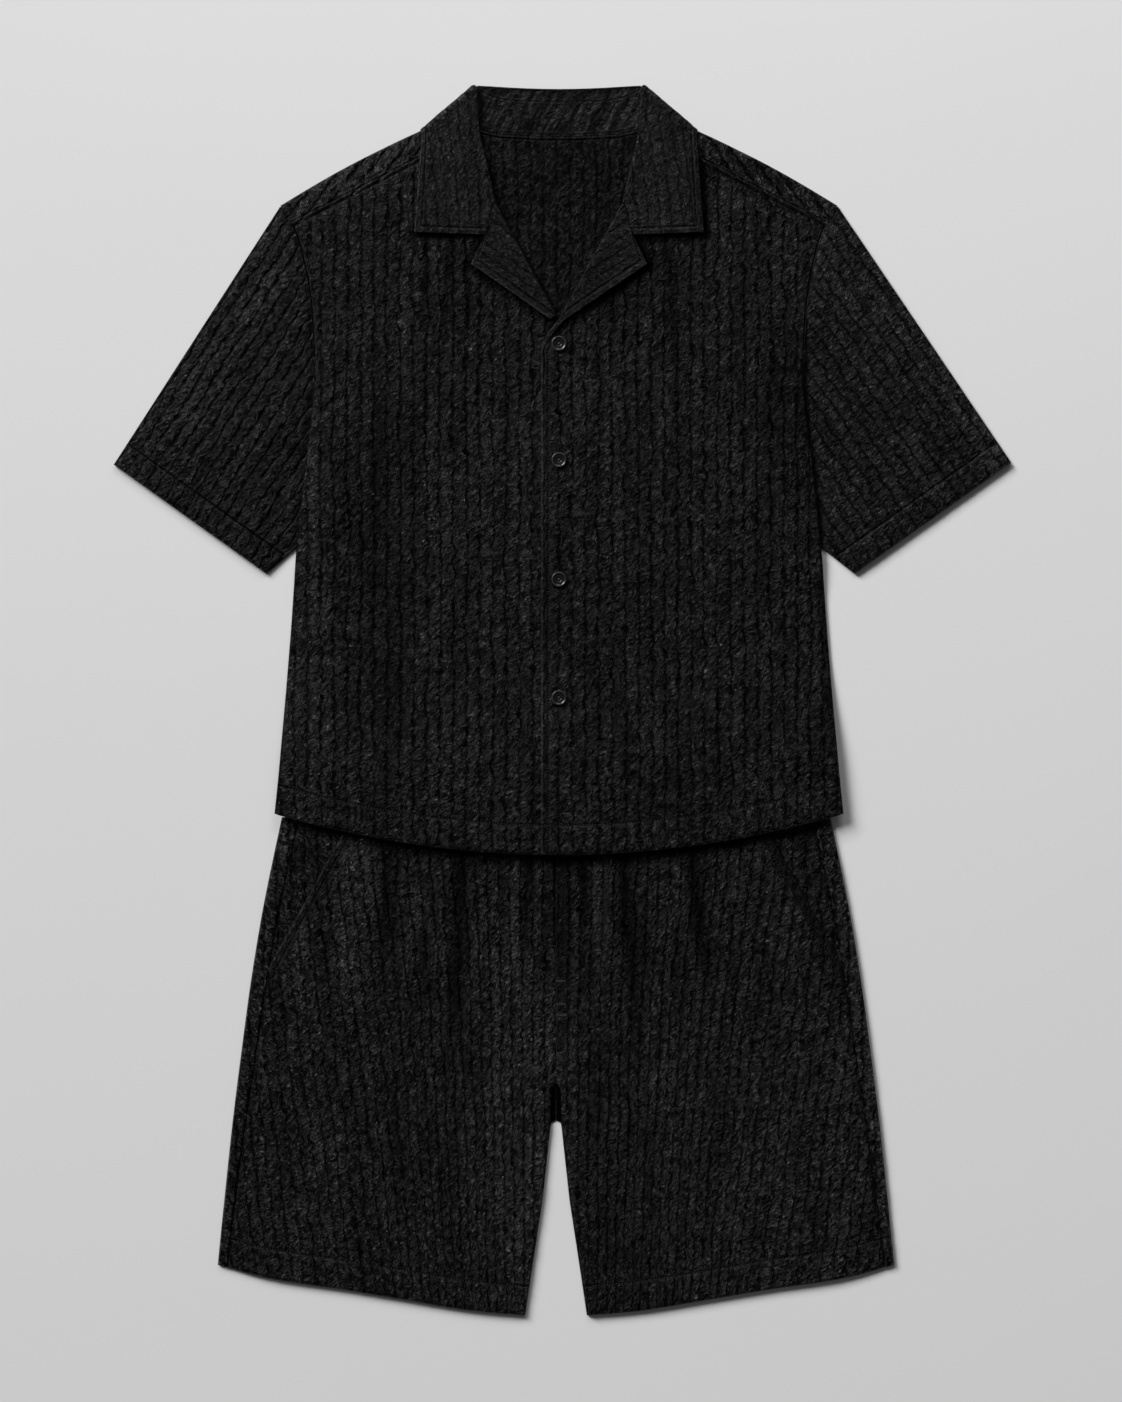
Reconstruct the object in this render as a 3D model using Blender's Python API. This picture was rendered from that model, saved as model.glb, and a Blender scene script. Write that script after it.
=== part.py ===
"""Short-sleeved shirt and shorts of crinkled rib cloth, laid flat face up.

Sizes are in millimetres until make_wall turns them into metres. The set lies on
the plane z = 0 with +Y towards the collar and +X towards the wearer's left. The
origin is under the middle of the set. The shirt and the shorts each have a
centre line of their own, and every outline is given as a distance from it.
"""

import math
from functools import partial

import bmesh
import bpy
import numpy as np

MM = 0.001

# Finishes
RIB_CLOTH = dict(colour=(0.012, 0.012, 0.013), roughness=0.85, metallic=0.0)
BUTTON_HORN = dict(colour=(0.018, 0.018, 0.02), roughness=0.3, metallic=0.0)

# The cloth, and how it lies
CLOTH = 1.5
COLLAR_CLOTH = 1.8
COLLAR_GAP = 0.7
COLLAR_CLEAR = 0.7
SEAM = 0.3
FOLD_RADIUS = 2.3
SHIRT_LOFT = 1.2
SHORTS_LOFT = 1.7
RIB_PITCH = 13.2
RIB_HEIGHT = 0.8
HEM_BAND = 30.0
HEM_STEP = 0.4
SEAM_ANGLES = (0.0, 45.0, 90.0)
WRAP_ANGLES = (-45.0, 0.0, 45.0, 90.0)

# Where the two centre lines lie across the set, and both along it
SHIRT_CENTRE = (-3.6, 0.3)
SHORTS_CENTRE = (-6.6, 0.3)

# Shirt body: height on the set, half width. The hem is first, the shoulder tip last.
BODY_EDGE = (
    (-114.0, 283.5), (-70.0, 279.0), (-28.0, 275.5), (95.0, 266.0), (145.0, 262.5), (230.0, 254.0),
    (320.0, 244.3), (358.0, 245.2), (397.0, 248.2), (435.0, 254.5), (473.0, 266.0), (494.0, 278.0),
)
BODY_ROWS = (-70.0, -28.0, 10.0, 52.0, 95.0, 145.0, 230.0, 320.0)
UPPER_ROWS = (0.221, 0.448, 0.669, 0.89, 0.945, 1.0)
FRONT_UPPER_ROWS = (0.25, 0.5, 0.72, 0.86, 1.0)
BODY_HALF = 262.0
BODY_STRAIGHT = ((-114.0, 494.0), (283.5, 255.0))
HEM_REACH = 283.0
HEM_CENTRE = -154.5
HEM_RISE = 40.8
BACK_HEM_SHORTER = 3.0
PLACKET_LAP = 18.0
PLACKET_RISE = 2.2

# Shoulder: the fold on top, and the seam that sits forward of it
SHOULDER_TIP = (278.0, 494.0)
SHOULDER_SLOPE = 0.532
SHOULDER_BULGE = 3.5
SHOULDER_RUN = 139.0
SHOULDER_DIP = 4.5
SHOULDER_DIP_SPAN = (154.0, 140.0)
FORWARD_SEAM_TIP = (266.0, 473.0)
FORWARD_SEAM_SLOPE = 0.509
NECK_POINT_X = 104.0
STRIP_NECK_X = 107.4

# Neck edge of a front: distance from the centre line, height. The placket is first.
FRONT_NECK = (
    (-18.0, 353.0), (-9.0, 365.5), (2.9, 377.2), (66.3, 494.2), (68.6, 497.0), (107.9, 552.4),
)
FRONT_TURNS = (-13.0, 0.0, 66.3, 107.9, 203.0, 216.0, 229.0)
BACK_NECK = ((0.0, 563.0), (19.8, 563.1), (59.4, 565.2), (79.2, 569.7), (92.4, 575.5), (104.0, 582.0))

# What the shirt lies over
WAIST_LIFT = 9.4
WAIST_LIFT_SPAN = (52.0, -70.5)
SLEEVE_LIFT = 3.9
FALL_LIFT = 2.3

# Collar, on one side: distance from the centre line, height
GORGE = (63.0, 496.5)
NOTCH = (74.0, 463.8)
COLLAR_TIP = (144.5, 466.0)
COLLAR_SIDE = (136.0, 564.0)
COLLAR_CORNER = (81.5, 611.5)
NECK_SEAM = ((67.0, 498.0), (106.6, 553.2), (101.2, 582.5))
ROLL_LINE = ((63.0, 496.5), (79.0, 566.0), (81.5, 611.5))
BACK_ROLL_CENTRE = 610.6
BACK_ROLL_RISE = 4.1
BACK_ROLL_DROP = 2.0
FALL_NORMAL = (0.653, 0.757)
STAND_NORMAL = (0.83, 0.558)
COLLAR_TURNS = (30.0, 60.0, 90.0, 120.0, 150.0)
FALL_EDGE_CENTRE = 549.0
FALL_EDGE_RISE = 15.0

# Lapel: where it starts on the roll line and on its lower edge, and its tip
LAPEL_START = {1: ((-0.6, 379.7), (4.2, 377.6)), -1: ((2.2, 384.0), (9.6, 380.2))}
LAPEL_TIP = (88.0, 434.5)
LAPEL_TIP_AT = 0.72
LAPEL_INWARD = (0.88, -0.476)
LAPEL_WALL = 2.9

# Sleeves: slope below level, reach of the cuff at its upper and lower ends, widths
SLEEVES = {
    1: dict(slope=55.9, reach=(310.3, 314.4), width=215.6, cuff=191.9),
    -1: dict(slope=57.2, reach=(308.0, 317.0), width=210.0, cuff=187.5),
}
SLEEVE_TAPER_FROM = 240.0
SLEEVE_THIN = 3.4
SLEEVE_LOFT = 2.2
CUFF_BAND = 25.0
TUCKED_ARMHOLE = ((243.0, 309.0), (241.0, 249.0), (232.0, 177.3))
SLEEVE_ROWS = (0.0, 0.14, 0.32, 0.52, 0.76)

# Buttons
BUTTON_HEIGHTS = (355.3, 239.3, 120.3, 2.3)
BUTTON_RADIUS = 7.5
BUTTON_SIDES = 16
BUTTON_PROFILE = (
    (0.0, 0.0), (5.6, 0.0), (7.1, 0.7), (BUTTON_RADIUS, 1.7), (6.9, 2.6), (6.1, 2.7), (5.0, 2.0), (1.9, 1.8),
    (1.3, 1.1), (0.0, 1.1),
)

# Shorts: height on the set, half width at the fold of the side
SHORTS_EDGE = (
    (-117.2, 274.0), (-215.0, 294.0), (-279.0, 304.5), (-345.0, 313.5), (-425.0, 323.5),
    (-500.0, 331.5), (-570.0, 338.5), (-620.0, 343.0),
)
SIDE_SEAM_INSET = (
    (-117.2, 17.0), (-215.0, 16.5), (-279.0, 16.0), (-345.0, 15.0), (-425.0, 13.0),
    (-500.0, 11.0), (-570.0, 9.5), (-620.0, 9.0),
)
POCKET_MOUTH = ((-117.2, 204.0), (-268.0, 287.5))
POCKET_LAP = 15.0
FRONT_INSEAM = (
    (-117.2, 0.15), (-381.0, 0.15), (-390.0, 5.0), (-425.0, 5.6), (-500.0, 13.5), (-559.0, 22.5),
    (-616.0, 31.0),
)
BACK_INSEAM = (
    (-117.2, 0.15), (-421.0, 0.15), (-428.0, 5.6), (-500.0, 13.5), (-559.0, 22.5), (-616.0, 31.0),
)
SHORTS_HEM = (
    (28.0, -614.8), (75.0, -611.0), (162.0, -597.2), (202.0, -590.5), (315.0, -570.8), (343.0, -562.0),
)
SHORTS_STRAIGHT = ((-617.0, -117.2), (331.0, 262.0))
SHORTS_RIBS = 44
SHORTS_FRONT_ROWS = (-117.2, -165.0, -215.0, -268.0, -279.0, -345.0, -381.0, -405.0, -425.0, -500.0)
SHORTS_BACK_ROWS = (-117.2, -215.0, -279.0, -345.0, -421.0, -428.0, -500.0)

# Soft troughs below the waist: centre at the waist and low down, where it ends, half width, depth
SHORTS_TROUGHS = (
    dict(side=-1, top=168.0, low=176.0, end=-330.0, width=15.0, depth=1.7),
    dict(side=-1, top=94.0, low=104.0, end=-370.0, width=17.0, depth=2.0),
    dict(side=-1, top=26.0, low=34.0, end=-300.0, width=10.0, depth=1.6),
    dict(side=1, top=66.0, low=82.0, end=-360.0, width=15.0, depth=2.0),
    dict(side=1, top=134.0, low=150.0, end=-310.0, width=15.0, depth=1.6),
    dict(side=1, top=26.0, low=30.0, end=-280.0, width=9.0, depth=1.3),
)

# Waistband
WAIST_TOP = -78.5
WAIST_BOTTOM = -116.8
WAIST_HALF_TOP = 262.0
WAIST_HALF_BOTTOM = 272.0
WAIST_CLOTH = 2.2
WAIST_RADIUS = 3.0


def ramp(value, start, end):
    """0 before start and 1 past end, with a smooth rise between; start may be the larger."""
    part = np.clip((np.asarray(value, float) - start) / (end - start), 0.0, 1.0)
    return part * part * (3.0 - 2.0 * part)


def table_at(table, position):
    """Straight-line reading of a two-column table that may run either way."""
    rows = np.array(sorted(table))
    return np.interp(position, rows[:, 0], rows[:, 1])


def mix(a, b, share):
    """Point or number share of the way from a to b."""
    return np.asarray(a, float) * (1.0 - share) + np.asarray(b, float) * share


def polyline(points, share):
    """Point at a share of the length of a line through the points."""
    points = np.array(points, float)
    steps = np.linalg.norm(np.diff(points, axis=0), axis=1)
    reach = np.concatenate(([0.0], np.cumsum(steps))) / steps.sum()
    return np.array([np.interp(share, reach, points[:, k]) for k in range(2)])


def make_material(piece, colour, roughness, metallic):
    """The Principled material of one piece."""
    material = bpy.data.materials.new(f"{piece}_finish")
    material.use_nodes = True
    shader = material.node_tree.nodes["Principled BSDF"]
    shader.inputs["Base Color"].default_value = (*colour, 1.0)
    shader.inputs["Roughness"].default_value = roughness
    shader.inputs["Metallic"].default_value = metallic
    return material


def make_wall(name, skin, lining, shift, lining_columns=None, closed=False, present=None):
    """Closed wall between two grids of points, column by row.

    The skin has every column. The lining has only those in lining_columns, so ribs
    stand on the skin over a plain inside. closed joins the last column to the first.
    present says which cells between columns and rows are cloth.
    """
    columns, rows = skin.shape[:2]
    stations = list(range(columns)) if lining_columns is None else list(lining_columns)
    spans = columns if closed else columns - 1
    if present is None:
        present = np.ones((spans, rows - 1), bool)
    ends = stations[1:] + [columns] if closed else stations[1:]
    starts = stations if closed else stations[:-1]
    mesh = bmesh.new()
    made = {}

    def corner(grid, points, i, j):
        key = (grid, i % points.shape[0], j)
        if key not in made:
            x, y, z = points[key[1], j]
            made[key] = mesh.verts.new(((x + shift[0]) * MM, (y + shift[1]) * MM, z * MM))
        return made[key]

    def cloth_at(i, j):
        if closed:
            i %= spans
        return 0 <= i < spans and 0 <= j < rows - 1 and bool(present[i, j])

    for i in range(spans):
        for j in range(rows - 1):
            if cloth_at(i, j):
                cell = ((i, j), (i + 1, j), (i + 1, j + 1), (i, j + 1))
                mesh.faces.new([corner(0, skin, a, b) for a, b in cell])
    for k, (start, end) in enumerate(zip(starts, ends)):
        for j in range(rows - 1):
            if not cloth_at(start, j):
                continue
            cell = ((k, j), (k + 1, j), (k + 1, j + 1), (k, j + 1))
            mesh.faces.new([corner(1, lining, a, b) for a, b in cell])
            for row, missing in ((j, j - 1), (j + 1, j + 1)):
                if not cloth_at(start, missing):
                    rim = [corner(0, skin, i, row) for i in range(start, end + 1)]
                    mesh.faces.new(rim + [corner(1, lining, k + 1, row), corner(1, lining, k, row)])
            for column, station, missing in ((start, k, start - 1), (end, k + 1, end)):
                if not cloth_at(missing, j):
                    side = [corner(0, skin, column, j), corner(0, skin, column, j + 1)]
                    mesh.faces.new(side + [corner(1, lining, station, j + 1), corner(1, lining, station, j)])
    bmesh.ops.recalc_face_normals(mesh, faces=mesh.faces[:])
    if mesh.calc_volume(signed=True) < 0.0:
        bmesh.ops.reverse_faces(mesh, faces=mesh.faces[:])
    data = bpy.data.meshes.new(name)
    mesh.to_mesh(data)
    mesh.free()
    data.materials.append(make_material(name, **RIB_CLOTH))
    piece = bpy.data.objects.new(name, data)
    bpy.context.scene.collection.objects.link(piece)
    data.shade_smooth()
    data.set_sharp_from_angle(angle=math.radians(40.0))
    return piece


def rib_stations(count, step=6, extra=()):
    """Every step-th column, the last, and the extra ones where an outline turns a corner."""
    stations = set(range(0, count - step // 2, step)) | {count - 1}
    return sorted(stations | {k for k in extra if 0 < k < count - 1})


# Heights of the shirt

def hem_line(x):
    """Height of the shirt's hem, a shallow arc."""
    return HEM_CENTRE + HEM_RISE * (x / HEM_REACH) ** 2


def shoulder_fold(x):
    """Height of the folded shoulder, dipping under the collar."""
    x = np.abs(x)
    from_tip = SHOULDER_TIP[0] - x
    bulge = SHOULDER_BULGE * np.sin(np.pi * np.clip(from_tip / SHOULDER_RUN, 0.0, 1.0))
    return SHOULDER_TIP[1] + SHOULDER_SLOPE * from_tip + bulge - SHOULDER_DIP * ramp(x, *SHOULDER_DIP_SPAN)


def forward_seam(x):
    """Height of the shoulder seam on the front."""
    return FORWARD_SEAM_TIP[1] + FORWARD_SEAM_SLOPE * (FORWARD_SEAM_TIP[0] - np.abs(x))


def fall_edge(x):
    """Height of the collar's edge behind the back."""
    return FALL_EDGE_CENTRE + FALL_EDGE_RISE * np.abs(x) / COLLAR_SIDE[0]


def shirt_lift(x, y):
    """Height of the shirt's underside: over the waist, the tucked sleeve and the collar's fall."""
    x = np.abs(x)
    over_waist = WAIST_LIFT * ramp(y, *WAIST_LIFT_SPAN)
    over_sleeve = SLEEVE_LIFT * ramp(x, 203.0, 229.0) * ramp(y, 95.0, 145.0) * ramp(y, 400.0, 325.0)
    over_fall = FALL_LIFT * ramp(y - fall_edge(x), -70.0, -12.0) * ramp(x, 185.0, 148.0)
    return over_waist + over_sleeve + over_fall


def shirt_loft(x, y):
    """Rise of the fronts above their folded edges."""
    x = np.abs(x)
    from_side = table_at(BODY_EDGE, y) - x
    return SHIRT_LOFT * ramp(from_side, 0.0, 50.0) * ramp(forward_seam(x) - y, 0.0, 55.0)


def front_underside(x, y, side):
    """Underside of a front; the wearer's left one passes over the other at the placket."""
    level = shirt_lift(x, y) + 2.0 * FOLD_RADIUS - CLOTH + shirt_loft(x, y)
    if side > 0:
        level = level + PLACKET_RISE * ramp(x, 62.0, 22.0)
    return level


def collar_underside(x, y, side):
    """Underside of what lies on a front or on the shoulder, just clear of the ribs."""
    return front_underside(x, y, side) + CLOTH + RIB_HEIGHT + COLLAR_CLEAR


def edge_fraction(y):
    """1 where the side is a folded edge, 0 along the armhole."""
    return ramp(y, 345.0, 300.0)


def body_column(edge, share, y):
    """Distance from the centre line of a column, straight inside and following the side outside."""
    straight = np.interp(y, *BODY_STRAIGHT)
    return edge + (straight - edge) * share + (table_at(BODY_EDGE, y) - straight) * share ** 4


def front_column(y, share):
    """Distance of a column of a front; its last share stops at the side's fold."""
    return float(body_column(-PLACKET_LAP, share, y)) - FOLD_RADIUS * share


def back_column(y, share):
    """Distance of a column of the back."""
    return float(body_column(0.0, share, y))


def level_column(y, x):
    """Distance of a column that runs straight up."""
    return x


def settle(column, line, start):
    """Height where a column meets a line that is a function of the distance."""
    y = start
    for _ in range(6):
        y = float(line(column(y)))
    return y


def seam_edge(half_width, y, level, middle, folded, rise):
    """Skin and lining of a side edge that turns down or up to the seam.

    level is the skin's height inside the edge, middle that of the seam, and rise is
    +1 for a front and -1 for a back. Columns run from the seam inwards.
    """
    skin, lining = [], []
    inner = FOLD_RADIUS - CLOTH
    centre = half_width - FOLD_RADIUS
    start = middle + rise * SEAM / 2.0
    for angle, reach in zip(SEAM_ANGLES, (1.0, 0.5, 0.0)):
        cosine, sine = math.cos(math.radians(angle)), math.sin(math.radians(angle))
        out = mix(reach, cosine, folded) * FOLD_RADIUS
        inside = mix(reach * FOLD_RADIUS, cosine * inner, folded)
        outer_climb = start + rise * (FOLD_RADIUS - SEAM / 2.0) * sine
        inner_climb = start + rise * (inner - SEAM / 2.0) * sine
        skin.append((centre + out, y, mix(level, outer_climb, folded)))
        lining.append((centre + inside, y, mix(level - rise * CLOTH, inner_climb, folded)))
    return skin, lining


def mirrored(points, side):
    """The same points on the wearer's left (side 1) or right (side -1)."""
    points = np.array(points, float)
    points[..., 0] *= side
    return points


# Shirt pieces

def front_top(x):
    """Height of a front's top edge: the roll line, the neck seam, then the shoulder seam."""
    if x <= FRONT_NECK[-1][0]:
        return table_at(FRONT_NECK, x)
    return forward_seam(x) - SEAM


def shirt_front(side):
    """A front with its ribs, from the placket to the side seam and the armhole."""
    width = BODY_HALF - FOLD_RADIUS + PLACKET_LAP
    ribs = int(width / (RIB_PITCH / 2.0))
    shares = [k / ribs for k in range(ribs + 1)]
    rows_below = [0.0, HEM_BAND - 1.5, HEM_BAND + 1.5]
    skin, lining = [], []
    for k, share in enumerate(shares[:-1]):
        column = partial(front_column, share=share)
        hem = settle(column, hem_line, HEM_CENTRE)
        top = settle(column, front_top, 470.0)
        heights = [hem + d for d in rows_below] + list(BODY_ROWS)
        heights += [mix(BODY_ROWS[-1], top, f) for f in FRONT_UPPER_ROWS]
        points, under = [], []
        for j, y in enumerate(heights):
            x = column(y)
            hidden = side < 0 and x < PLACKET_LAP + 6.0
            ridge = RIB_HEIGHT if k % 2 and not hidden else 0.0
            hem_raise = HEM_STEP if j < 2 else 0.0
            base = float(front_underside(x, y, side))
            points.append((x, y, base + CLOTH + ridge + (0.0 if hidden else hem_raise)))
            under.append((x, y, base))
        skin.append(points)
        lining.append(under)
    hem = float(hem_line(BODY_EDGE[0][1]))
    heights = [hem + d for d in rows_below] + list(BODY_ROWS)
    heights += [mix(BODY_ROWS[-1], FORWARD_SEAM_TIP[1] - SEAM, f) for f in FRONT_UPPER_ROWS]
    edges = []
    for y in heights:
        half = float(table_at(BODY_EDGE, y))
        lift = float(shirt_lift(half, y))
        level = lift + 2.0 * FOLD_RADIUS
        edges.append(seam_edge(half, y, level, lift + FOLD_RADIUS, float(edge_fraction(y)), 1.0))
    for k in (2, 1, 0):
        skin.append([edge[0][k] for edge in edges])
        lining.append([edge[1][k] for edge in edges])
    corners = [int((x + PLACKET_LAP) * ribs / width) for x in FRONT_TURNS]
    extra = [k + d for k in corners for d in (0, 1)]
    stations = rib_stations(len(skin) - 3, 6, extra) + [len(skin) - 3, len(skin) - 2, len(skin) - 1]
    name = "shirt_front_left" if side > 0 else "shirt_front_right"
    plain = [lining[k] for k in stations]
    return make_wall(name, mirrored(skin, side), mirrored(plain, side), SHIRT_CENTRE, stations)


def back_neck(x):
    """Height of the neck seam at the back."""
    return table_at(BACK_NECK, np.abs(x))


def shirt_back():
    """The back, flat on the floor, with its shoulders folded over to the forward seam."""
    inner_x = [RIB_PITCH / 2.0 * k for k in range(-14, 15)]
    outer_x = [120.0, 150.0, 185.0, 203.0, 229.0, 250.0]
    right = [NECK_POINT_X] + outer_x
    plan = [-x for x in reversed(right)] + inner_x + right
    fold_inset = FOLD_RADIUS * math.hypot(1.0, SHOULDER_SLOPE)
    slope = math.atan(SHOULDER_SLOPE)
    strip_rows = (0.5, 1.0)
    skin, lining, neck_columns = [], [], []

    def shoulder_rows(x, side):
        """Skin and lining over the fold and down the front strip, for one column."""
        outward = np.array([side * math.sin(slope), math.cos(slope)])
        base = np.array([x, float(shoulder_fold(x)) - fold_inset])
        lift = float(shirt_lift(*base))
        wrap_skin, wrap_lining = [], []
        for angle in WRAP_ANGLES:
            cosine, sine = math.cos(math.radians(angle)), math.sin(math.radians(angle))
            for radius, target in ((FOLD_RADIUS, wrap_skin), (FOLD_RADIUS - CLOTH, wrap_lining)):
                point = base + outward * radius * cosine
                target.append((*point, lift + FOLD_RADIUS + radius * sine))
        share = (abs(x) - NECK_POINT_X) / (SHOULDER_TIP[0] - 1.1 - NECK_POINT_X)
        end_x = side * mix(STRIP_NECK_X, FORWARD_SEAM_TIP[0] + 0.4, share)
        end = np.array([end_x, float(forward_seam(end_x)) + SEAM])
        for part in strip_rows:
            point = mix(base, end, part)
            level = float(shirt_lift(*point)) + 2.0 * FOLD_RADIUS
            wrap_skin.append((*point, level))
            wrap_lining.append((*point, level - CLOTH))
        return wrap_skin, wrap_lining

    for x0 in plan:
        side = 1.0 if x0 > 0 else -1.0
        column = partial(back_column, share=abs(x0) / BODY_HALF)
        hem = settle(column, hem_line, HEM_CENTRE) + BACK_HEM_SHORTER
        in_neck = abs(x0) < NECK_POINT_X
        if in_neck:
            column = partial(level_column, x=abs(x0))
            top = float(back_neck(x0))
        elif abs(x0) == NECK_POINT_X:
            column = partial(level_column, x=NECK_POINT_X)
            top = float(shoulder_fold(x0)) - fold_inset
        else:
            top = settle(column, lambda x: shoulder_fold(x) - fold_inset, 520.0)
        heights = [hem] + list(BODY_ROWS) + [float(mix(BODY_ROWS[-1], top, f)) for f in UPPER_ROWS]
        ridge = RIB_HEIGHT if in_neck and round(x0 / (RIB_PITCH / 2.0)) % 2 else 0.0
        low = [(side * column(y), y, float(shirt_lift(column(y), y))) for y in heights]
        high = [(x, y, z + CLOTH + (ridge if y > BODY_ROWS[-1] and y < top - 1.0 else 0.0)) for x, y, z in low]
        over = shoulder_rows(side * column(top), side)
        skin.append(low + over[0])
        lining.append(high + over[1])
        neck_columns.append(in_neck)
    half_rows = []
    tip_x = SHOULDER_TIP[0] - FOLD_RADIUS * math.sin(slope) - SEAM
    tip_top = SHOULDER_TIP[1] - FOLD_RADIUS * math.cos(slope)
    heights = [float(hem_line(HEM_REACH)) + BACK_HEM_SHORTER] + list(BODY_ROWS)
    heights += [float(mix(BODY_ROWS[-1], tip_top, f)) for f in UPPER_ROWS]
    for y in heights:
        half = float(table_at(BODY_EDGE, y)) if y < tip_top else tip_x
        lift = float(shirt_lift(half, y))
        half_rows.append(seam_edge(half, y, lift, lift + FOLD_RADIUS, float(edge_fraction(y)), -1.0))
    over = shoulder_rows(tip_x, 1.0)
    for k in (2, 1, 0):
        inward = (0.0, FOLD_RADIUS / 2.0, FOLD_RADIUS)[k]
        rows_skin = [row[0][k] for row in half_rows] + [(x - inward, y, z) for x, y, z in over[0]]
        rows_lining = [row[1][k] for row in half_rows] + [(x - inward, y, z) for x, y, z in over[1]]
        skin.append(rows_skin)
        lining.append(rows_lining)
        skin.insert(0, [(-x, y, z) for x, y, z in rows_skin])
        lining.insert(0, [(-x, y, z) for x, y, z in rows_lining])
        neck_columns = [False] + neck_columns + [False]
    skin, lining = np.array(skin), np.array(lining)
    present = np.ones((len(skin) - 1, skin.shape[1] - 1), bool)
    flat_rows = len(heights) - 1
    for i in range(len(skin) - 1):
        if neck_columns[i] or neck_columns[i + 1]:
            present[i, flat_rows:] = False
    turns = [x for x, _ in BACK_NECK]
    flat_y = len(heights) - 1
    floor_side = [
        i for i in range(len(skin))
        if not neck_columns[i] or min(abs(abs(skin[i, flat_y, 0]) - x) for x in turns) < 0.1
    ]
    # The lining carries the inside ribs, so it is the full grid here and the floor side the plain one
    return make_wall("shirt_back", lining, skin[floor_side], SHIRT_CENTRE, floor_side, present=present)


def sleeve_frame(slope):
    """Unit vectors along the sleeve to the cuff and across it, on the wearer's left."""
    angle = math.radians(slope)
    along = np.array([math.cos(angle), -math.sin(angle)])
    across = np.array([-math.sin(angle), -math.cos(angle)])
    return along, across


def sleeve_thickness(x, y):
    """Height of a sleeve's upper face: thin where it is tucked under the body."""
    from_body = np.asarray(x) - table_at(BODY_EDGE, y)
    beside_armhole = ramp(y, 330.0, 400.0)
    near = mix(SLEEVE_THIN, 2.0 * FOLD_RADIUS, beside_armhole)
    return near + (SLEEVE_THIN + SLEEVE_LOFT - near) * ramp(from_body, 2.0, 45.0)


def sleeve(side):
    """A sleeve as a flattened tube, open at the armhole and at the cuff."""
    cut = SLEEVES[side]
    along, across = sleeve_frame(cut["slope"])
    tip = np.array(SHOULDER_TIP)
    upper_reach, lower_reach = cut["reach"]
    armhole = [p for p in ((x, y) for y, x in reversed(BODY_EDGE)) if p[1] > 315.0] + list(TUCKED_ARMHOLE)
    seam = np.array([((np.array(p) - tip) @ across, (np.array(p) - tip) @ along) for p in armhole])

    def start_of(b):
        return float(np.interp(max(b, FOLD_RADIUS), seam[:, 0], seam[:, 1])) + 2.0 * SEAM

    def width_at(a):
        return float(np.interp(a, (SLEEVE_TAPER_FROM, lower_reach), (cut["width"], cut["cuff"])))

    def spine(share):
        """Points on one lengthwise line from the armhole to the cuff."""
        start = start_of(share * cut["width"])
        end = float(mix(upper_reach, lower_reach, share))
        band = end - CUFF_BAND
        stops = [mix(start, band - 1.5, f) for f in SLEEVE_ROWS] + [band - 1.5, band + 1.5, end]
        return [tip + along * a + across * share * width_at(a) for a in stops]

    ribs = int(cut["width"] / (RIB_PITCH / 2.0))
    outer, inner = [], []

    def turned(share, outward_sign):
        """Columns round a folded edge, from the upper face to the floor."""
        points = spine(share)
        for angle in (90.0, 45.0, 0.0, -45.0, -90.0):
            cosine, sine = math.cos(math.radians(angle)), math.sin(math.radians(angle))
            skin, lining = [], []
            for p in points:
                radius = float(sleeve_thickness(*p)) / 2.0
                centre = p - across * outward_sign * radius
                for r, target in ((radius, skin), (max(radius - CLOTH, 0.15), lining)):
                    q = centre + across * outward_sign * r * cosine
                    target.append((*q, radius + r * sine))
            yield skin, lining

    for k in range(2, ribs - 1):
        share = k / ribs
        column, under = [], []
        for j, p in enumerate(spine(share)):
            level = float(sleeve_thickness(*p))
            tucked = p[0] < float(table_at(BODY_EDGE, p[1])) + 5.0 and p[1] < 330.0
            ridge = RIB_HEIGHT if k % 2 and not tucked else 0.0
            band = HEM_STEP if j >= len(SLEEVE_ROWS) + 1 else 0.0
            column.append((*p, level + ridge + band))
            under.append((*p, level - CLOTH))
        outer.append(column)
        inner.append(under)
    stations = rib_stations(len(outer), 5)
    for skin, lining in turned(1.0, 1.0):
        outer.append(skin)
        inner.append(lining)
        stations.append(len(outer) - 1)
    for share in (0.8, 0.6, 0.4, 0.2):
        points = spine(share)
        outer.append([(*p, 0.0) for p in points])
        inner.append([(*p, CLOTH) for p in points])
        stations.append(len(outer) - 1)
    for skin, lining in reversed(list(turned(0.0, -1.0))):
        outer.append(skin)
        inner.append(lining)
        stations.append(len(outer) - 1)
    name = "sleeve_left" if side > 0 else "sleeve_right"
    plain = [inner[k] for k in stations]
    return make_wall(name, mirrored(outer, side), mirrored(plain, side), SHIRT_CENTRE, stations, True)


def coons(low, high, start, end, u, v):
    """Point of a patch with four boundary curves; low and high run along u, start and end along v."""
    ruled_u = mix(low(u), high(u), v)
    ruled_v = mix(start(v), end(v), u)
    corners = mix(mix(low(0.0), low(1.0), u), mix(high(0.0), high(1.0), u), v)
    return ruled_u + ruled_v - corners


def leaf_point(u, v, inset):
    """Point of a collar leaf: u runs along the roll line and v from it to the outer edge."""

    def low(share):
        return polyline(ROLL_LINE, share) - inset

    def high(share):
        return mix(COLLAR_TIP, COLLAR_SIDE, share)

    def start(share):
        return polyline((low(0.0), NOTCH, COLLAR_TIP), share)

    def end(share):
        return mix(low(1.0), COLLAR_SIDE, share)

    return coons(low, high, start, end, u, v)


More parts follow.
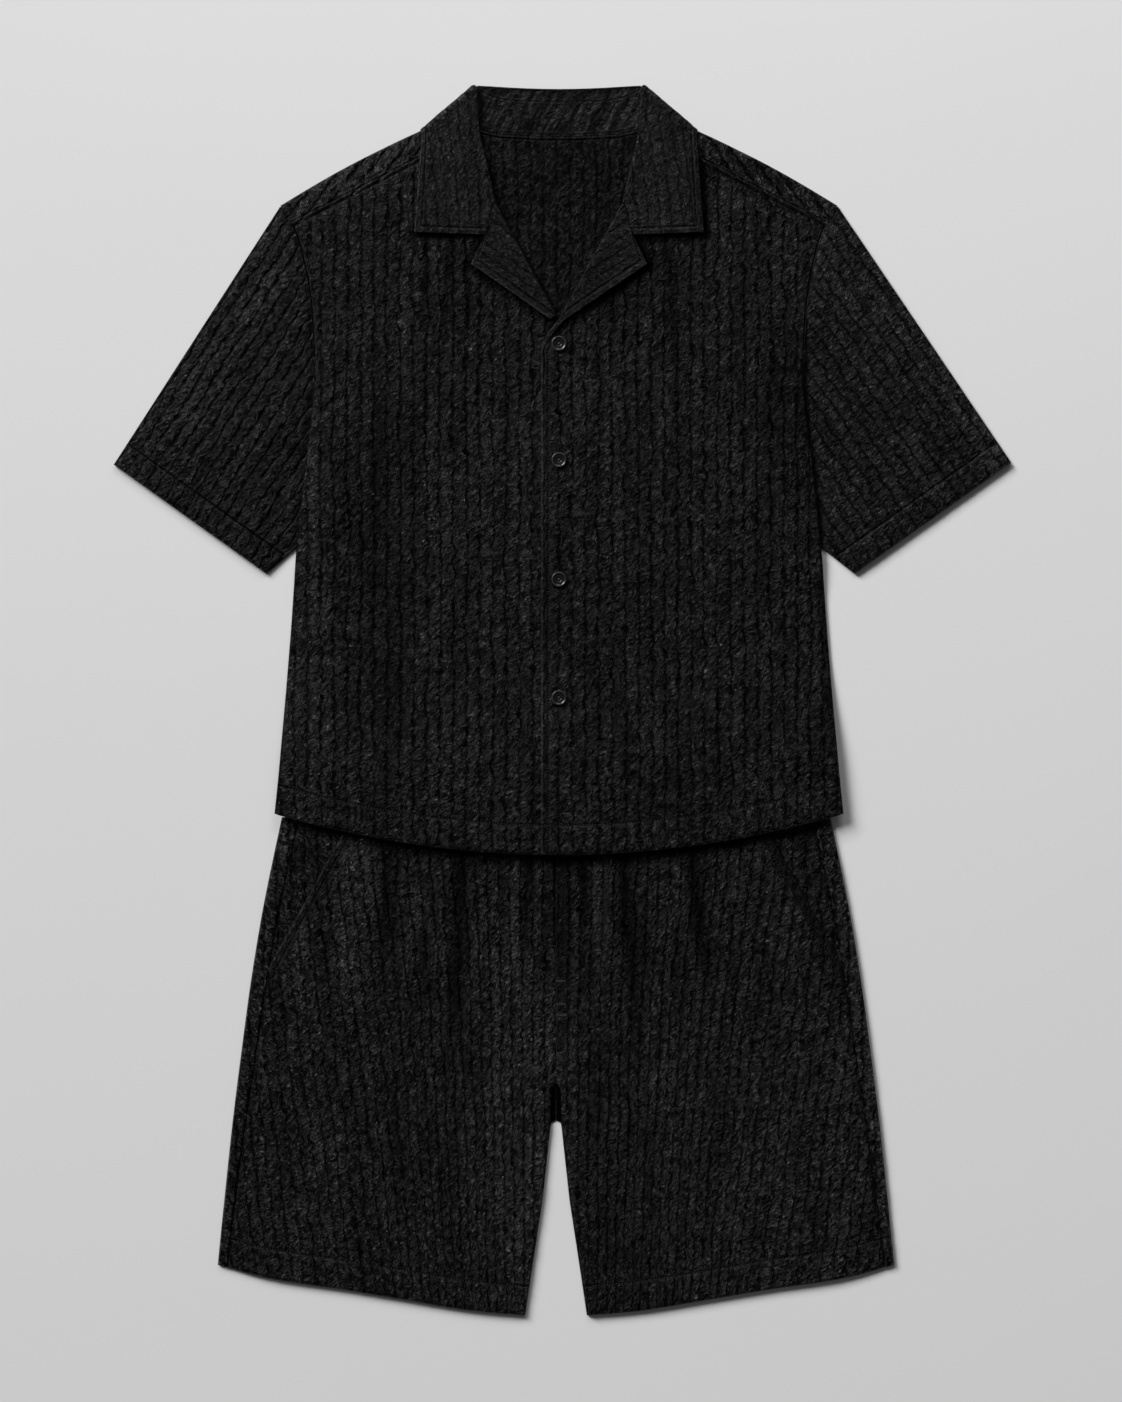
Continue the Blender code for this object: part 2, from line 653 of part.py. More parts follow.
def collar_half(side):
    """Visible and under faces of half a collar, from the gorge round to the centre back."""
    layer, gap = COLLAR_CLOTH, COLLAR_GAP
    shoulder_level = FALL_LIFT + 2.0 * FOLD_RADIUS + RIB_HEIGHT + COLLAR_CLEAR + layer
    ring = shoulder_level / 2.0
    roll_radius = layer + gap / 2.0
    faces = (
        dict(stand=ring - 2.0 * layer - gap, roll=roll_radius, fall=ring),
        dict(stand=ring - layer - gap, roll=gap / 2.0, fall=ring - layer),
    )
    stand_shares, roll_angles, fall_shares = (0.0, 0.5, 1.0), (-50.0, 0.0, 50.0), (0.0, 0.2, 0.45, 0.72, 1.0)
    fall_normal, stand_normal = np.array(FALL_NORMAL), np.array(STAND_NORMAL)
    columns = [
        dict(turn=0.0, u=k / 7.0, heading=mix(160.0, 166.0, math.sin(math.pi * k / 7.0))) for k in range(8)
    ]
    columns += [dict(turn=t, u=1.0, heading=160.0 - 70.0 * t / 180.0) for t in COLLAR_TURNS]
    across_back = [1.0 - x / NECK_POINT_X for x, _ in reversed(BACK_NECK)]
    columns += [dict(turn=180.0, u=1.0, b=share, heading=90.0) for share in across_back]
    sides = [[], []]
    for spec in columns:
        heading = math.radians(spec["heading"])
        outward = np.array([math.cos(heading), math.sin(heading)])
        turn = math.radians(spec["turn"])
        if "b" in spec:
            far = 1.0 - spec["b"]
            neck = np.array([NECK_SEAM[-1][0] * far, 0.0])
            neck[1] = float(back_neck(NECK_POINT_X * far)) + SEAM + 0.2
            roll_y = BACK_ROLL_CENTRE + BACK_ROLL_RISE * far ** 2 - BACK_ROLL_DROP * far ** 6
            roll = np.array([COLLAR_CORNER[0] * far, roll_y])
            edge_x = COLLAR_SIDE[0] * far
            edge = np.array([edge_x, float(fall_edge(edge_x))])
        else:
            neck = polyline(NECK_SEAM, spec["u"])
            roll = polyline(ROLL_LINE, spec["u"])
            edge = mix(COLLAR_TIP, COLLAR_SIDE, spec["u"])
        centre = roll - outward * roll_radius

        def fall_point(v, spec=spec, centre=centre, edge=edge, inset=outward * roll_radius):
            if "b" in spec or spec["turn"] > 0.0:
                return mix(centre, edge, v)
            return leaf_point(spec["u"], v, inset)

        for face, target in zip(faces, sides):
            path = [(mix(neck, centre, s), face["stand"], stand_normal) for s in stand_shares]
            for angle in roll_angles:
                bend = math.radians(angle)
                offset = ring - roll_radius + face["roll"] * math.sin(bend)
                spot = centre + outward * face["roll"] * math.cos(bend)
                path.append((spot, offset, (stand_normal + fall_normal) / 2.0))
            path += [(fall_point(v), face["fall"], fall_normal) for v in fall_shares]
            row = []
            for spot, offset, normal in path:
                if spec["turn"] == 0.0:
                    level = float(collar_underside(spot[0], spot[1], side)) + layer
                    row.append((*spot, level - ring + offset))
                else:
                    place = spot + normal * offset * math.sin(turn)
                    row.append((*place, ring + offset * math.cos(turn)))
            target.append(row)
    return [mirrored(face, side) for face in sides]


def collar():
    """The whole collar: leaves on the fronts, stand inside the neck, fall behind the back."""
    left, right = collar_half(1), collar_half(-1)
    faces = [np.concatenate([a, b[::-1][1:]]) for a, b in zip(left, right)]
    return make_wall("collar", faces[0], faces[1], SHIRT_CENTRE)


def lapel(side):
    """A lapel: the turned-out top of a front, rounded along the roll line."""
    roll_start, edge_start = (np.array(p) for p in LAPEL_START[side])
    gorge = np.array(GORGE) - np.array([0.3, 1.2])
    notch = np.array(NOTCH) - np.array([0.5, 0.35])
    inward = np.array(LAPEL_INWARD)
    skin, lining = [], []
    for u in (0.0, 0.18, 0.36, 0.54, LAPEL_TIP_AT, 0.86, 1.0):
        roll = mix(roll_start, gorge, u)
        if u <= LAPEL_TIP_AT:
            edge = mix(edge_start, LAPEL_TIP, u / LAPEL_TIP_AT)
        else:
            edge = mix(LAPEL_TIP, notch, (u - LAPEL_TIP_AT) / (1.0 - LAPEL_TIP_AT))
        column, under = [], []
        nose = roll + inward * LAPEL_WALL
        low = float(front_underside(*nose, side))
        high = float(collar_underside(*nose, side)) + COLLAR_CLOTH
        radius = (high - low) / 2.0
        for angle in (-90.0, -45.0, 0.0, 45.0, 90.0):
            cosine, sine = math.cos(math.radians(angle)), math.sin(math.radians(angle))
            spot = roll + inward * radius * (1.0 - cosine)
            column.append((*spot, low + radius + radius * sine))
            climb = (sine + 1.0) / 2.0
            under.append((*nose, mix(low, high - COLLAR_CLOTH, climb)))
        for v in (0.12, 0.4, 0.7, 1.0):
            spot = mix(nose, edge, v)
            level = float(collar_underside(*spot, side))
            column.append((*spot, level + COLLAR_CLOTH))
            under.append((*spot, level))
        skin.append(column)
        lining.append(under)
    name = "lapel_left" if side > 0 else "lapel_right"
    return make_wall(name, mirrored(skin, side), mirrored(lining, side), SHIRT_CENTRE)


def button(index, height):
    """A turned button with a raised rim, a dished face and a pit in the middle."""
    base = float(front_underside(0.0, height - BUTTON_RADIUS, 1)) + CLOTH + RIB_HEIGHT + SEAM
    mesh = bmesh.new()
    points = [mesh.verts.new((r * MM, 0.0, z * MM)) for r, z in BUTTON_PROFILE]
    edges = [mesh.edges.new(pair) for pair in zip(points, points[1:])]
    bmesh.ops.spin(
        mesh, geom=points + edges, cent=(0, 0, 0), axis=(0, 0, 1), angle=2 * math.pi, steps=BUTTON_SIDES,
        use_merge=True,
    )
    bmesh.ops.remove_doubles(mesh, verts=mesh.verts[:], dist=1e-6)
    bmesh.ops.recalc_face_normals(mesh, faces=mesh.faces[:])
    data = bpy.data.meshes.new(f"button_{index}")
    mesh.to_mesh(data)
    mesh.free()
    data.materials.append(make_material(data.name, **BUTTON_HORN))
    data.shade_smooth()
    data.set_sharp_from_angle(angle=math.radians(40.0))
    piece = bpy.data.objects.new(f"button_{index}", data)
    piece.location = (SHIRT_CENTRE[0] * MM, (height + SHIRT_CENTRE[1]) * MM, base * MM)
    bpy.context.scene.collection.objects.link(piece)


# Shorts pieces

def shorts_hem(x):
    """Height of a leg's hem."""
    return float(table_at(SHORTS_HEM, x))


def pocket_mouth(y):
    """Distance of the slanted pocket edge from the centre line."""
    return table_at(POCKET_MOUTH, y)


def side_seam(y):
    """Distance of the side seam, which lies on the front of the leg."""
    return table_at(SHORTS_EDGE, y) - table_at(SIDE_SEAM_INSET, y)


def shorts_outer(y):
    """Outer edge of a front: the pocket mouth, then the side seam."""
    if y >= POCKET_MOUTH[1][0]:
        return float(pocket_mouth(y))
    share = float(ramp(y, POCKET_MOUTH[1][0], SHORTS_FRONT_ROWS[4]))
    return float(mix(POCKET_MOUTH[1][1], side_seam(y) - SEAM, share))


def shorts_level(x, y, side):
    """Underside of a front of the shorts, with its soft troughs and its rise over the pocket facing."""
    outer = side_seam(y)
    loft = SHORTS_LOFT * ramp(outer - x, 0.0, 55.0) * ramp(x, -30.0, 30.0)
    for trough in SHORTS_TROUGHS:
        if trough["side"] == side:
            share = ramp(y, WAIST_BOTTOM, trough["end"])
            centre = mix(trough["top"], trough["low"], share)
            fade = ramp(y, trough["end"], trough["end"] + 130.0)
            loft = loft - trough["depth"] * fade * np.exp(-((x - centre) / trough["width"]) ** 2)
    near = pocket_mouth(y) - POCKET_LAP
    over_facing = (CLOTH + SEAM) * ramp(x, near - 30.0, near - 3.0)
    over_facing = over_facing * ramp(y, POCKET_MOUTH[1][0] - 60.0, POCKET_MOUTH[1][0] - 8.0)
    return 2.0 * FOLD_RADIUS - CLOTH + loft + over_facing


def leg_edge_fraction(y, crotch):
    """1 where the inner leg is a folded edge, 0 along the centre seam."""
    return float(ramp(y, crotch + 5.0, crotch - 18.0))


def shorts_front(side):
    """A front of the shorts with its ribs, troughs and slanted pocket mouth."""
    rows_below = [HEM_BAND + 1.5, HEM_BAND - 1.5, 0.0]

    def column_x(y, share):
        inner = float(table_at(FRONT_INSEAM, y)) + FOLD_RADIUS
        straight = float(np.interp(y, *SHORTS_STRAIGHT))
        outer = shorts_outer(y)
        return inner + (straight - inner) * share + (outer - straight) * share ** 2

    skin, lining = [], []
    crotch = FRONT_INSEAM[2][0]
    for k in range(SHORTS_RIBS + 1):
        column = partial(column_x, share=k / SHORTS_RIBS)
        hem = settle(column, shorts_hem, -600.0)
        heights = list(SHORTS_FRONT_ROWS) + [hem + d for d in rows_below]
        points, under = [], []
        for j, y in enumerate(heights):
            x = column(y)
            base = float(shorts_level(x, y, side))
            ridge = RIB_HEIGHT if k % 2 else 0.0
            band = HEM_STEP if j >= len(heights) - 2 else 0.0
            points.append((x, y, base + CLOTH + ridge + band))
            under.append((x, y, base))
        skin.append(points)
        lining.append(under)
    edges = []
    for y in heights_of_inner_edge(FRONT_INSEAM, SHORTS_FRONT_ROWS, rows_below):
        inner = float(table_at(FRONT_INSEAM, y))
        level = float(shorts_level(inner + FOLD_RADIUS, y, side)) + CLOTH
        folded = leg_edge_fraction(y, crotch)
        edges.append(seam_edge(-inner, y, level, FOLD_RADIUS, folded, 1.0))
    for k in (1, 0):
        skin.insert(0, [(-edge[0][k][0], edge[0][k][1], edge[0][k][2]) for edge in edges])
        lining.insert(0, [(-edge[1][k][0], edge[1][k][1], edge[1][k][2]) for edge in edges])
    stations = [0, 1] + [s + 2 for s in rib_stations(len(skin) - 2)]
    name = "shorts_front_left" if side > 0 else "shorts_front_right"
    plain = [lining[k] for k in stations]
    return make_wall(name, mirrored(skin, side), mirrored(plain, side), SHORTS_CENTRE, stations)


def heights_of_inner_edge(inseam, rows, rows_below):
    """Heights of the rows along an inner edge, ending at the hem."""
    hem = settle(lambda y: float(table_at(inseam, y)), shorts_hem, -614.0)
    return list(rows) + [hem + d for d in rows_below]


def shorts_back(side):
    """A back of the shorts, flat on the floor, folded round the side to the side seam."""
    crotch = BACK_INSEAM[2][0]
    rows_below = [HEM_BAND, 0.0]
    inner_rows = heights_of_inner_edge(BACK_INSEAM, SHORTS_BACK_ROWS, rows_below)
    skin, lining = [], []
    edges = []
    for y in inner_rows:
        inner = float(table_at(BACK_INSEAM, y))
        edges.append(seam_edge(-inner, y, 0.0, FOLD_RADIUS, leg_edge_fraction(y, crotch), -1.0))
    for k in (0, 1, 2):
        skin.append([(-edge[0][k][0], edge[0][k][1], edge[0][k][2]) for edge in edges])
        lining.append([(-edge[1][k][0], edge[1][k][1], edge[1][k][2]) for edge in edges])

    def rows_at(column):
        hem = settle(column, shorts_hem, -600.0)
        return [(column(y), y) for y in list(SHORTS_BACK_ROWS) + [hem + d for d in rows_below]]

    def between(share):
        def column(y):
            inner = float(table_at(BACK_INSEAM, y)) + FOLD_RADIUS
            return float(mix(inner, table_at(SHORTS_EDGE, y) - FOLD_RADIUS, share))
        return column

    for share in (0.2, 0.45, 0.7, 1.0):
        points = rows_at(between(share))
        skin.append([(x, y, 0.0) for x, y in points])
        lining.append([(x, y, CLOTH) for x, y in points])
    fold_rows = rows_at(between(1.0))
    for angle in WRAP_ANGLES:
        cosine, sine = math.cos(math.radians(angle)), math.sin(math.radians(angle))
        for radius, target in ((FOLD_RADIUS, skin), (FOLD_RADIUS - CLOTH, lining)):
            target.append([(x + radius * cosine, y, FOLD_RADIUS + radius * sine) for x, y in fold_rows])
    seam_rows = rows_at(lambda y: float(side_seam(y)))
    skin.append([(x, y, 2.0 * FOLD_RADIUS) for x, y in seam_rows])
    lining.append([(x, y, 2.0 * FOLD_RADIUS - CLOTH) for x, y in seam_rows])
    name = "shorts_back_left" if side > 0 else "shorts_back_right"
    return make_wall(name, mirrored(skin, side), mirrored(lining, side), SHORTS_CENTRE)


def pocket_facing(side):
    """The piece that shows inside the slanted pocket mouth, up to the side seam."""
    bottom = POCKET_MOUTH[1][0] - 7.0
    rows = [mix(POCKET_MOUTH[0][0], bottom, f) for f in (0.0, 0.25, 0.5, 0.75, 1.0)]
    skin, lining = [], []
    for share in (0.0, 0.2, 0.4, 0.6, 0.8, 1.0):
        ridge = 0.0 if share in (0.0, 0.4, 0.8) else RIB_HEIGHT / 2.0
        points, under = [], []
        for y in rows:
            inner, outer = float(pocket_mouth(y)) - POCKET_LAP, float(side_seam(y)) - SEAM
            x = float(mix(inner, outer, share))
            hidden = x < float(pocket_mouth(y)) + 3.0
            level = 2.0 * FOLD_RADIUS
            points.append((x, y, level + (0.0 if hidden else ridge)))
            under.append((x, y, level - CLOTH))
        skin.append(points)
        lining.append(under)
    name = "pocket_facing_left" if side > 0 else "pocket_facing_right"
    return make_wall(name, mirrored(skin, side), mirrored(lining, side), SHORTS_CENTRE)


def waistband():
    """The elastic waistband, a flattened ring gathered along its upper face."""
    rows = (WAIST_BOTTOM, WAIST_TOP)
    halves = (WAIST_HALF_BOTTOM, WAIST_HALF_TOP)
    count = 60
    outer, inner = [], []
    for k in range(count + 1):
        share = 2.0 * k / count - 1.0
        gather = RIB_HEIGHT if k % 2 else 0.0
        level = 2.0 * WAIST_RADIUS + gather
        outer.append([((half - WAIST_RADIUS) * share, y, level) for y, half in zip(rows, halves)])
        inner.append([(x, y, 2.0 * WAIST_RADIUS - WAIST_CLOTH) for x, y, z in outer[-1]])
    stations = rib_stations(len(outer), 6)
    for side in (1.0, -1.0):
        angles = (45.0, 0.0, -45.0, -90.0) if side > 0 else (-90.0, -45.0, 0.0, 45.0)
        for angle in angles:
            cosine, sine = math.cos(math.radians(angle)), math.sin(math.radians(angle))
            for radius, target in ((WAIST_RADIUS, outer), (WAIST_RADIUS - WAIST_CLOTH, inner)):
                target.append([
                    (side * (half - WAIST_RADIUS + radius * cosine), y, WAIST_RADIUS + radius * sine)
                    for y, half in zip(rows, halves)
                ])
            stations.append(len(outer) - 1)
        if side > 0:
            for share in (0.6, 0.2, -0.2, -0.6):
                flat = [((half - WAIST_RADIUS) * share, y) for y, half in zip(rows, halves)]
                outer.append([(x, y, 0.0) for x, y in flat])
                inner.append([(x, y, WAIST_CLOTH) for x, y in flat])
                stations.append(len(outer) - 1)
    plain = np.array([inner[k] for k in stations])
    return make_wall("waistband", np.array(outer), plain, SHORTS_CENTRE, stations, True)


def main():
    for old in list(bpy.data.objects):
        bpy.data.objects.remove(old)
    shirt_back()
    collar()
    waistband()
    for side in (1, -1):
        shirt_front(side)
        lapel(side)
        sleeve(side)
        shorts_front(side)
        shorts_back(side)
        pocket_facing(side)
    for index, height in enumerate(BUTTON_HEIGHTS, start=1):
        button(index, height)


main()
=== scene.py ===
"""Looks of a short-sleeved shirt and shorts of black crinkled rib cloth, laid flat face up.

Shapes are worked out in millimetres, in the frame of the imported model, and turned
into metres when a mesh is made. Every panel is a thin closed shell: a fine skin
that carries the ribs and puckers, over a plain lining.
"""

import logging
import math
from dataclasses import dataclass, field
from enum import Enum

import bpy
import numpy as np
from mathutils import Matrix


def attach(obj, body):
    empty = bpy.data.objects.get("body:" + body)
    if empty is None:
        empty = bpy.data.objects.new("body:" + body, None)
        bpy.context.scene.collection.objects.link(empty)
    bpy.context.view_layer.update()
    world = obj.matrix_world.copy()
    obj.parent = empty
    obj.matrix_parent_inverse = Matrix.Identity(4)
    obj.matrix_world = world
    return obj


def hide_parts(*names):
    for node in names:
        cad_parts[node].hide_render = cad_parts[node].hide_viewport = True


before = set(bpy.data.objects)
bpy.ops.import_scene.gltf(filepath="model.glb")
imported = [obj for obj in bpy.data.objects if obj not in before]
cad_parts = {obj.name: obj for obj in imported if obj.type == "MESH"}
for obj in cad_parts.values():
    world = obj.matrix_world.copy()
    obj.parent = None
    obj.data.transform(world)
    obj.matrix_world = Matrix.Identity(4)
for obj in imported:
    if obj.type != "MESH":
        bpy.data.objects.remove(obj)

MM = 0.001
BODY = "root"
PHOTO_WIDTH = 1122
PHOTO_HEIGHT = 1402
PHOTO_MM_PER_PIXEL = 1.0

CLOTH = 1.5
SEAM = 0.3
FOLD_RADIUS = 2.3
CAD_RIB = 0.8
STITCH_RISE = 0.1
FAR = 60.0
SHIRT_CENTRE = (-3.6, 0.3)
SHORTS_CENTRE = (-6.6, 0.3)

log = logging.getLogger("shirt_and_shorts")


class Side(Enum):
    """Side of the wearer, as the sign of x."""

    LEFT = 1
    RIGHT = -1

    @property
    def word(self) -> str:
        """The side's name as the pieces use it."""
        return self.name.lower()


# Small formulas shared by all pieces

def ramp(value: np.ndarray, start: float, end: float) -> np.ndarray:
    """Smooth step: 0 before start, 1 past end, part squared times (3 - 2 part) between."""
    part = np.clip((np.asarray(value, float) - start) / (end - start), 0.0, 1.0)
    return part * part * (3.0 - 2.0 * part)


def mix(a: np.ndarray, b: np.ndarray, share: np.ndarray) -> np.ndarray:
    """Straight blend of a and b: a at share 0, b at share 1."""
    return np.asarray(a, float) * (1.0 - share) + np.asarray(b, float) * share


def table_at(table: tuple, position: np.ndarray) -> np.ndarray:
    """Straight-line reading of a two-column table that may run either way.

    Args:
        table: Rows of (position, value).
        position: Where to read it.

    Returns:
        The value at each position.
    """
    rows = np.array(sorted(table))
    return np.interp(position, rows[:, 0], rows[:, 1])


def smooth_at(table: tuple, position: np.ndarray) -> np.ndarray:
    """Smooth reading of a two-column table: a cubic through its rows.

    Each span is the cubic whose slopes at its two ends are the mean slopes of
    the neighbouring spans.

    Args:
        table: Rows of (position, value).
        position: Where to read it.

    Returns:
        The value at each position, held constant past the ends.
    """
    rows = np.array(sorted(table))
    x, y = rows[:, 0], rows[:, 1]
    slope = np.gradient(y, x)
    at = np.clip(position, x[0], x[-1])
    k = np.clip(np.searchsorted(x, at, side="right") - 1, 0, len(x) - 2)
    width = x[k + 1] - x[k]
    t = (at - x[k]) / width
    start = (1 + 2 * t) * (1 - t) ** 2 * y[k] + t * (1 - t) ** 2 * width * slope[k]
    end = t * t * (3 - 2 * t) * y[k + 1] + t * t * (t - 1) * width * slope[k + 1]
    return start + end


def along_line(points: tuple, share: np.ndarray) -> np.ndarray:
    """Points at shares of the length of a line of straight runs.

    Args:
        points: Corners of the line, each (x, y).
        share: Shares from 0 to 1, of any shape.

    Returns:
        An array with one more axis, of length 2.
    """
    points = np.array(points, float)
    runs = np.linalg.norm(np.diff(points, axis=0), axis=1)
    reach = np.concatenate(([0.0], np.cumsum(runs))) / runs.sum()
    return np.stack([np.interp(share, reach, points[:, k]) for k in range(2)], axis=-1)


def edge_roll(distance: np.ndarray, radius: float) -> np.ndarray:
    """Drop of a rounded edge: a quarter circle of the radius, from the edge inwards."""
    part = np.clip(distance / radius, 0.0, 1.0)
    return radius * (1.0 - np.sqrt(1.0 - (1.0 - part) ** 2))


def bell(distance: np.ndarray, width: float) -> np.ndarray:
    """Bell curve: 1 on the line, falling away over the width."""
    return np.exp(-((distance / width) ** 2))


def from_line(x: np.ndarray, y: np.ndarray, line: tuple) -> np.ndarray:
    """Distance of each point from a line of straight runs.

    On each run the nearest place is the projection, held between the run's ends.

    Args:
        x: First coordinates.
        y: Second coordinates, of the same shape.
        line: Corners of the line, each (x, y).

    Returns:
        The least distance to any run.
    """
    least = np.full(np.shape(x), FAR)
    for (ax, ay), (bx, by) in zip(line[:-1], line[1:]):
        run = np.hypot(bx - ax, by - ay)
        share = np.clip(((x - ax) * (bx - ax) + (y - ay) * (by - ay)) / run ** 2, 0.0, 1.0)
        least = np.minimum(least, np.hypot(x - ax - share * (bx - ax), y - ay - share * (by - ay)))
    return least


def bands(x: np.ndarray, y: np.ndarray, table: tuple) -> np.ndarray:
    """Sum of soft upright bands of painted shade above 0 and painted light below it.

    Args:
        x: Distance from the centre line.
        y: Height on the set.
        table: Rows of (x of the middle, lowest y, highest y, half width, strength).

    Returns:
        The shade at each point.
    """
    shade = np.zeros(np.shape(x))
    for middle, low, high, width, strength in table:
        shade = shade + strength * bell(x - middle, width) * ramp(y, low, low + 60.0) * ramp(y, high, high - 60.0)
    return shade


def nearest(*distances: np.ndarray) -> np.ndarray:
    """The signed distance of least size, point by point."""
    stack = np.stack(np.broadcast_arrays(*distances))
    return np.take_along_axis(stack, np.abs(stack).argmin(0)[None], 0)[0]


def edge_steps(length: float, pitch: float) -> np.ndarray:
    """Shares of a length with fine steps at both ends for a rounded edge.

    Args:
        length: The length in millimetres.
        pitch: The even step between the ends.

    Returns:
        Rising shares from 0 to 1.
    """
    fine = np.array([0.0, 0.12, 0.4, 0.9])
    count = max(int((length - 3.2) / pitch), 2)
    steps = np.concatenate([fine, np.linspace(1.6, length - 1.6, count), length - fine[::-1]])
    return steps / length


class Ripples:
    """Smooth noise on a square lattice, the same at each run."""

    def __init__(self, seed: int) -> None:
        """Fills the lattice from the seed."""
        self.lattice = np.random.default_rng(seed).uniform(-1.0, 1.0, (256, 256))

    def at(self, x: np.ndarray, y: np.ndarray) -> np.ndarray:
        """Noise from -1 to 1: lattice values blended with smooth weights.

        Args:
            x: First coordinate, one lattice cell to a unit.
            y: Second coordinate.

        Returns:
            The noise at each point.
        """
        x, y = np.broadcast_arrays(np.asarray(x, float), np.asarray(y, float))
        column, row = np.floor(x).astype(int), np.floor(y).astype(int)
        a, b = x - column, y - row
        a, b = a * a * (3 - 2 * a), b * b * (3 - 2 * b)
        grid = self.lattice
        c0, c1, r0, r1 = column % 256, (column + 1) % 256, row % 256, (row + 1) % 256
        low = grid[c0, r0] * (1 - a) + grid[c1, r0] * a
        high = grid[c0, r1] * (1 - a) + grid[c1, r1] * a
        return low * (1 - b) + high * b


@dataclass(frozen=True)
class Crinkle:
    """Relief of the cloth: soft cords between narrow grooves, twisted by slanted puckers."""

    pitch: float = 13.2
    cord: float = 0.6
    groove: float = 1.5
    pucker: float = 0.3
    crease: float = 0.4
    slant: float = 52.0
    cross: float = 0.0
    seed: int = 3

    def rib_place(self, u: np.ndarray, v: np.ndarray) -> np.ndarray:
        """Rib count at a point: the distance plus a wander of two sizes, over the pitch.

        Args:
            u: Distance across the ribs.
            v: Distance along them.

        Returns:
            The count of ribs, growing with u.
        """
        noise = Ripples(self.seed)
        wander = 1.5 * noise.at(u / 41.0, v / 38.0) + 0.7 * noise.at(u / 15.0 + 40.0, v / 12.0)
        return (u + wander) / self.pitch

    def coordinates(self, u: np.ndarray, v: np.ndarray) -> np.ndarray:
        """Cloth coordinates for the finish: rib count, and distance along the rib in pitches.

        Args:
            u: Distance across the ribs.
            v: Distance along the ribs.

        Returns:
            An array with one more axis, of length 2.
        """
        place = self.rib_place(u, v) + 7.0 * self.seed
        return np.stack([place, v / self.pitch + 3.0 * self.seed], -1)

    def height(self, u: np.ndarray, v: np.ndarray) -> np.ndarray:
        """Height of the relief above the plain cloth.

        The distance to the nearest groove, after the grooves are made to wander,
        gives the cord. Stretched noise along the slant, shifted from cord to cord,
        gives the puckers, and its sharp crests the creases.

        Args:
            u: Distance across the ribs.
            v: Distance along the ribs.

        Returns:
            Height in millimetres, from about 0 to 1.5.
        """
        noise = Ripples(self.seed)
        place = self.rib_place(u, v)
        index = np.floor(place)
        part = place - index
        from_groove = np.minimum(part, 1.0 - part) * self.pitch
        in_groove = bell(from_groove, self.groove)
        fade = np.clip(0.75 + 0.5 * noise.at(np.round(place) * 3.7, v / 33.0), 0.25, 1.0)
        round_top = 1.0 - np.abs(2.0 * part - 1.0) ** 2.4
        lean = math.radians(self.slant)
        turn = 0.35 * noise.at(u / 50.0 + 9.0, v / 50.0)
        along = u * np.cos(lean + turn) + v * np.sin(lean + turn)
        across = v * np.cos(lean + turn) - u * np.sin(lean + turn)
        fold = noise.at(along / 12.0 + 5.3 * index, across / 4.3 + 2.1 * index)
        small = noise.at(along / 6.5 + 2.7 * index + 90.0, across / 2.6 + 31.0)
        crest = (1.0 - np.abs(noise.at(along / 13.0 + 1.9 * index + 60.0, across / 6.2 + 17.0))) ** 5
        free = 1.0 - 0.85 * in_groove
        relief = self.cord * (0.35 + 0.3 * round_top - 0.55 * in_groove * fade)
        relief = relief + free * (self.pucker * fold + 0.4 * self.pucker * small + self.crease * (crest - 0.18))
        if self.cross:
            rung = np.abs(np.mod(v / (0.8 * self.pitch) + 0.45 * noise.at(index * 2.3, v / 19.0), 1.0) - 0.5) * 2.0
            relief = relief - self.cross * bell((1.0 - rung) * 0.4 * self.pitch, 1.3)
        return np.clip(relief + 0.35 * self.cord, 0.0, 1.6)


@dataclass(frozen=True)
class Band:
    """A stitched band along an edge: ribs pressed flatter, a small rise, and a groove at the stitches.

    Distances are in millimetres from the free edge.
    """

    width: float
    press: float = 0.3
    rise: float = 0.35
    groove: float = 0.7
    groove_width: float = 1.4
    outer: float = 1.0
    inner: float = 1.5
    ripple: float = 0.3
    ripple_reach: float = 8.0
    stitch_calm: float = 2.5

    def inside(self, distance: np.ndarray) -> np.ndarray:
        """1 on the band and 0 past its stitches, as a smooth step."""
        return ramp(distance, self.width + self.outer, self.width - self.inner)

    def pressed(self, height: np.ndarray, distance: np.ndarray) -> np.ndarray:
        """Ribs with the band in them.

        On the band the height is times one less the press, plus the rise. A bell of
        the groove's width is taken off along the stitches.

        Args:
            height: Height of the ribs.
            distance: Distance from the free edge.

        Returns:
            The new height.
        """
        inside = self.inside(distance)
        height = height * (1.0 - self.press * inside) + self.rise * inside
        return height - self.groove * bell(distance - self.width, self.groove_width)

    def rippled(self, distance: np.ndarray, noise: np.ndarray) -> np.ndarray:
        """Height of the ripples that the stitches draw up beside them."""
        return self.ripple * bell(distance - self.width, self.ripple_reach) * noise

    def calm(self, distance: np.ndarray) -> np.ndarray:
        """Share by which the puckers are pressed out: at the stitches and the free edge."""
        return 0.7 * np.maximum(bell(distance - self.width, self.stitch_calm), ramp(distance, 5.0, 1.0))


class Value:
    """A shader value that plain sums work on: each sum is one Math node."""

    def __init__(self, nodes: "Nodes", socket: bpy.types.NodeSocket) -> None:
        """Takes the tree's maker of nodes and the socket that carries the value."""
        self.nodes, self.socket = nodes, socket

    def __add__(self, other: "Value | float") -> "Value":
        """The sum of both."""
        return self.nodes.math("ADD", self, other)

    def __mul__(self, other: "Value | float") -> "Value":
        """The product of both."""
        return self.nodes.math("MULTIPLY", self, other)

    def __sub__(self, other: "Value | float") -> "Value":
        """This less the other."""
        return self.nodes.math("SUBTRACT", self, other)

    def __rsub__(self, other: float) -> "Value":
        """A number less this."""
        return self.nodes.math("SUBTRACT", other, self)

    def __abs__(self) -> "Value":
        """The size without the sign."""
        return self.nodes.math("ABSOLUTE", self)

    __radd__, __rmul__ = __add__, __mul__


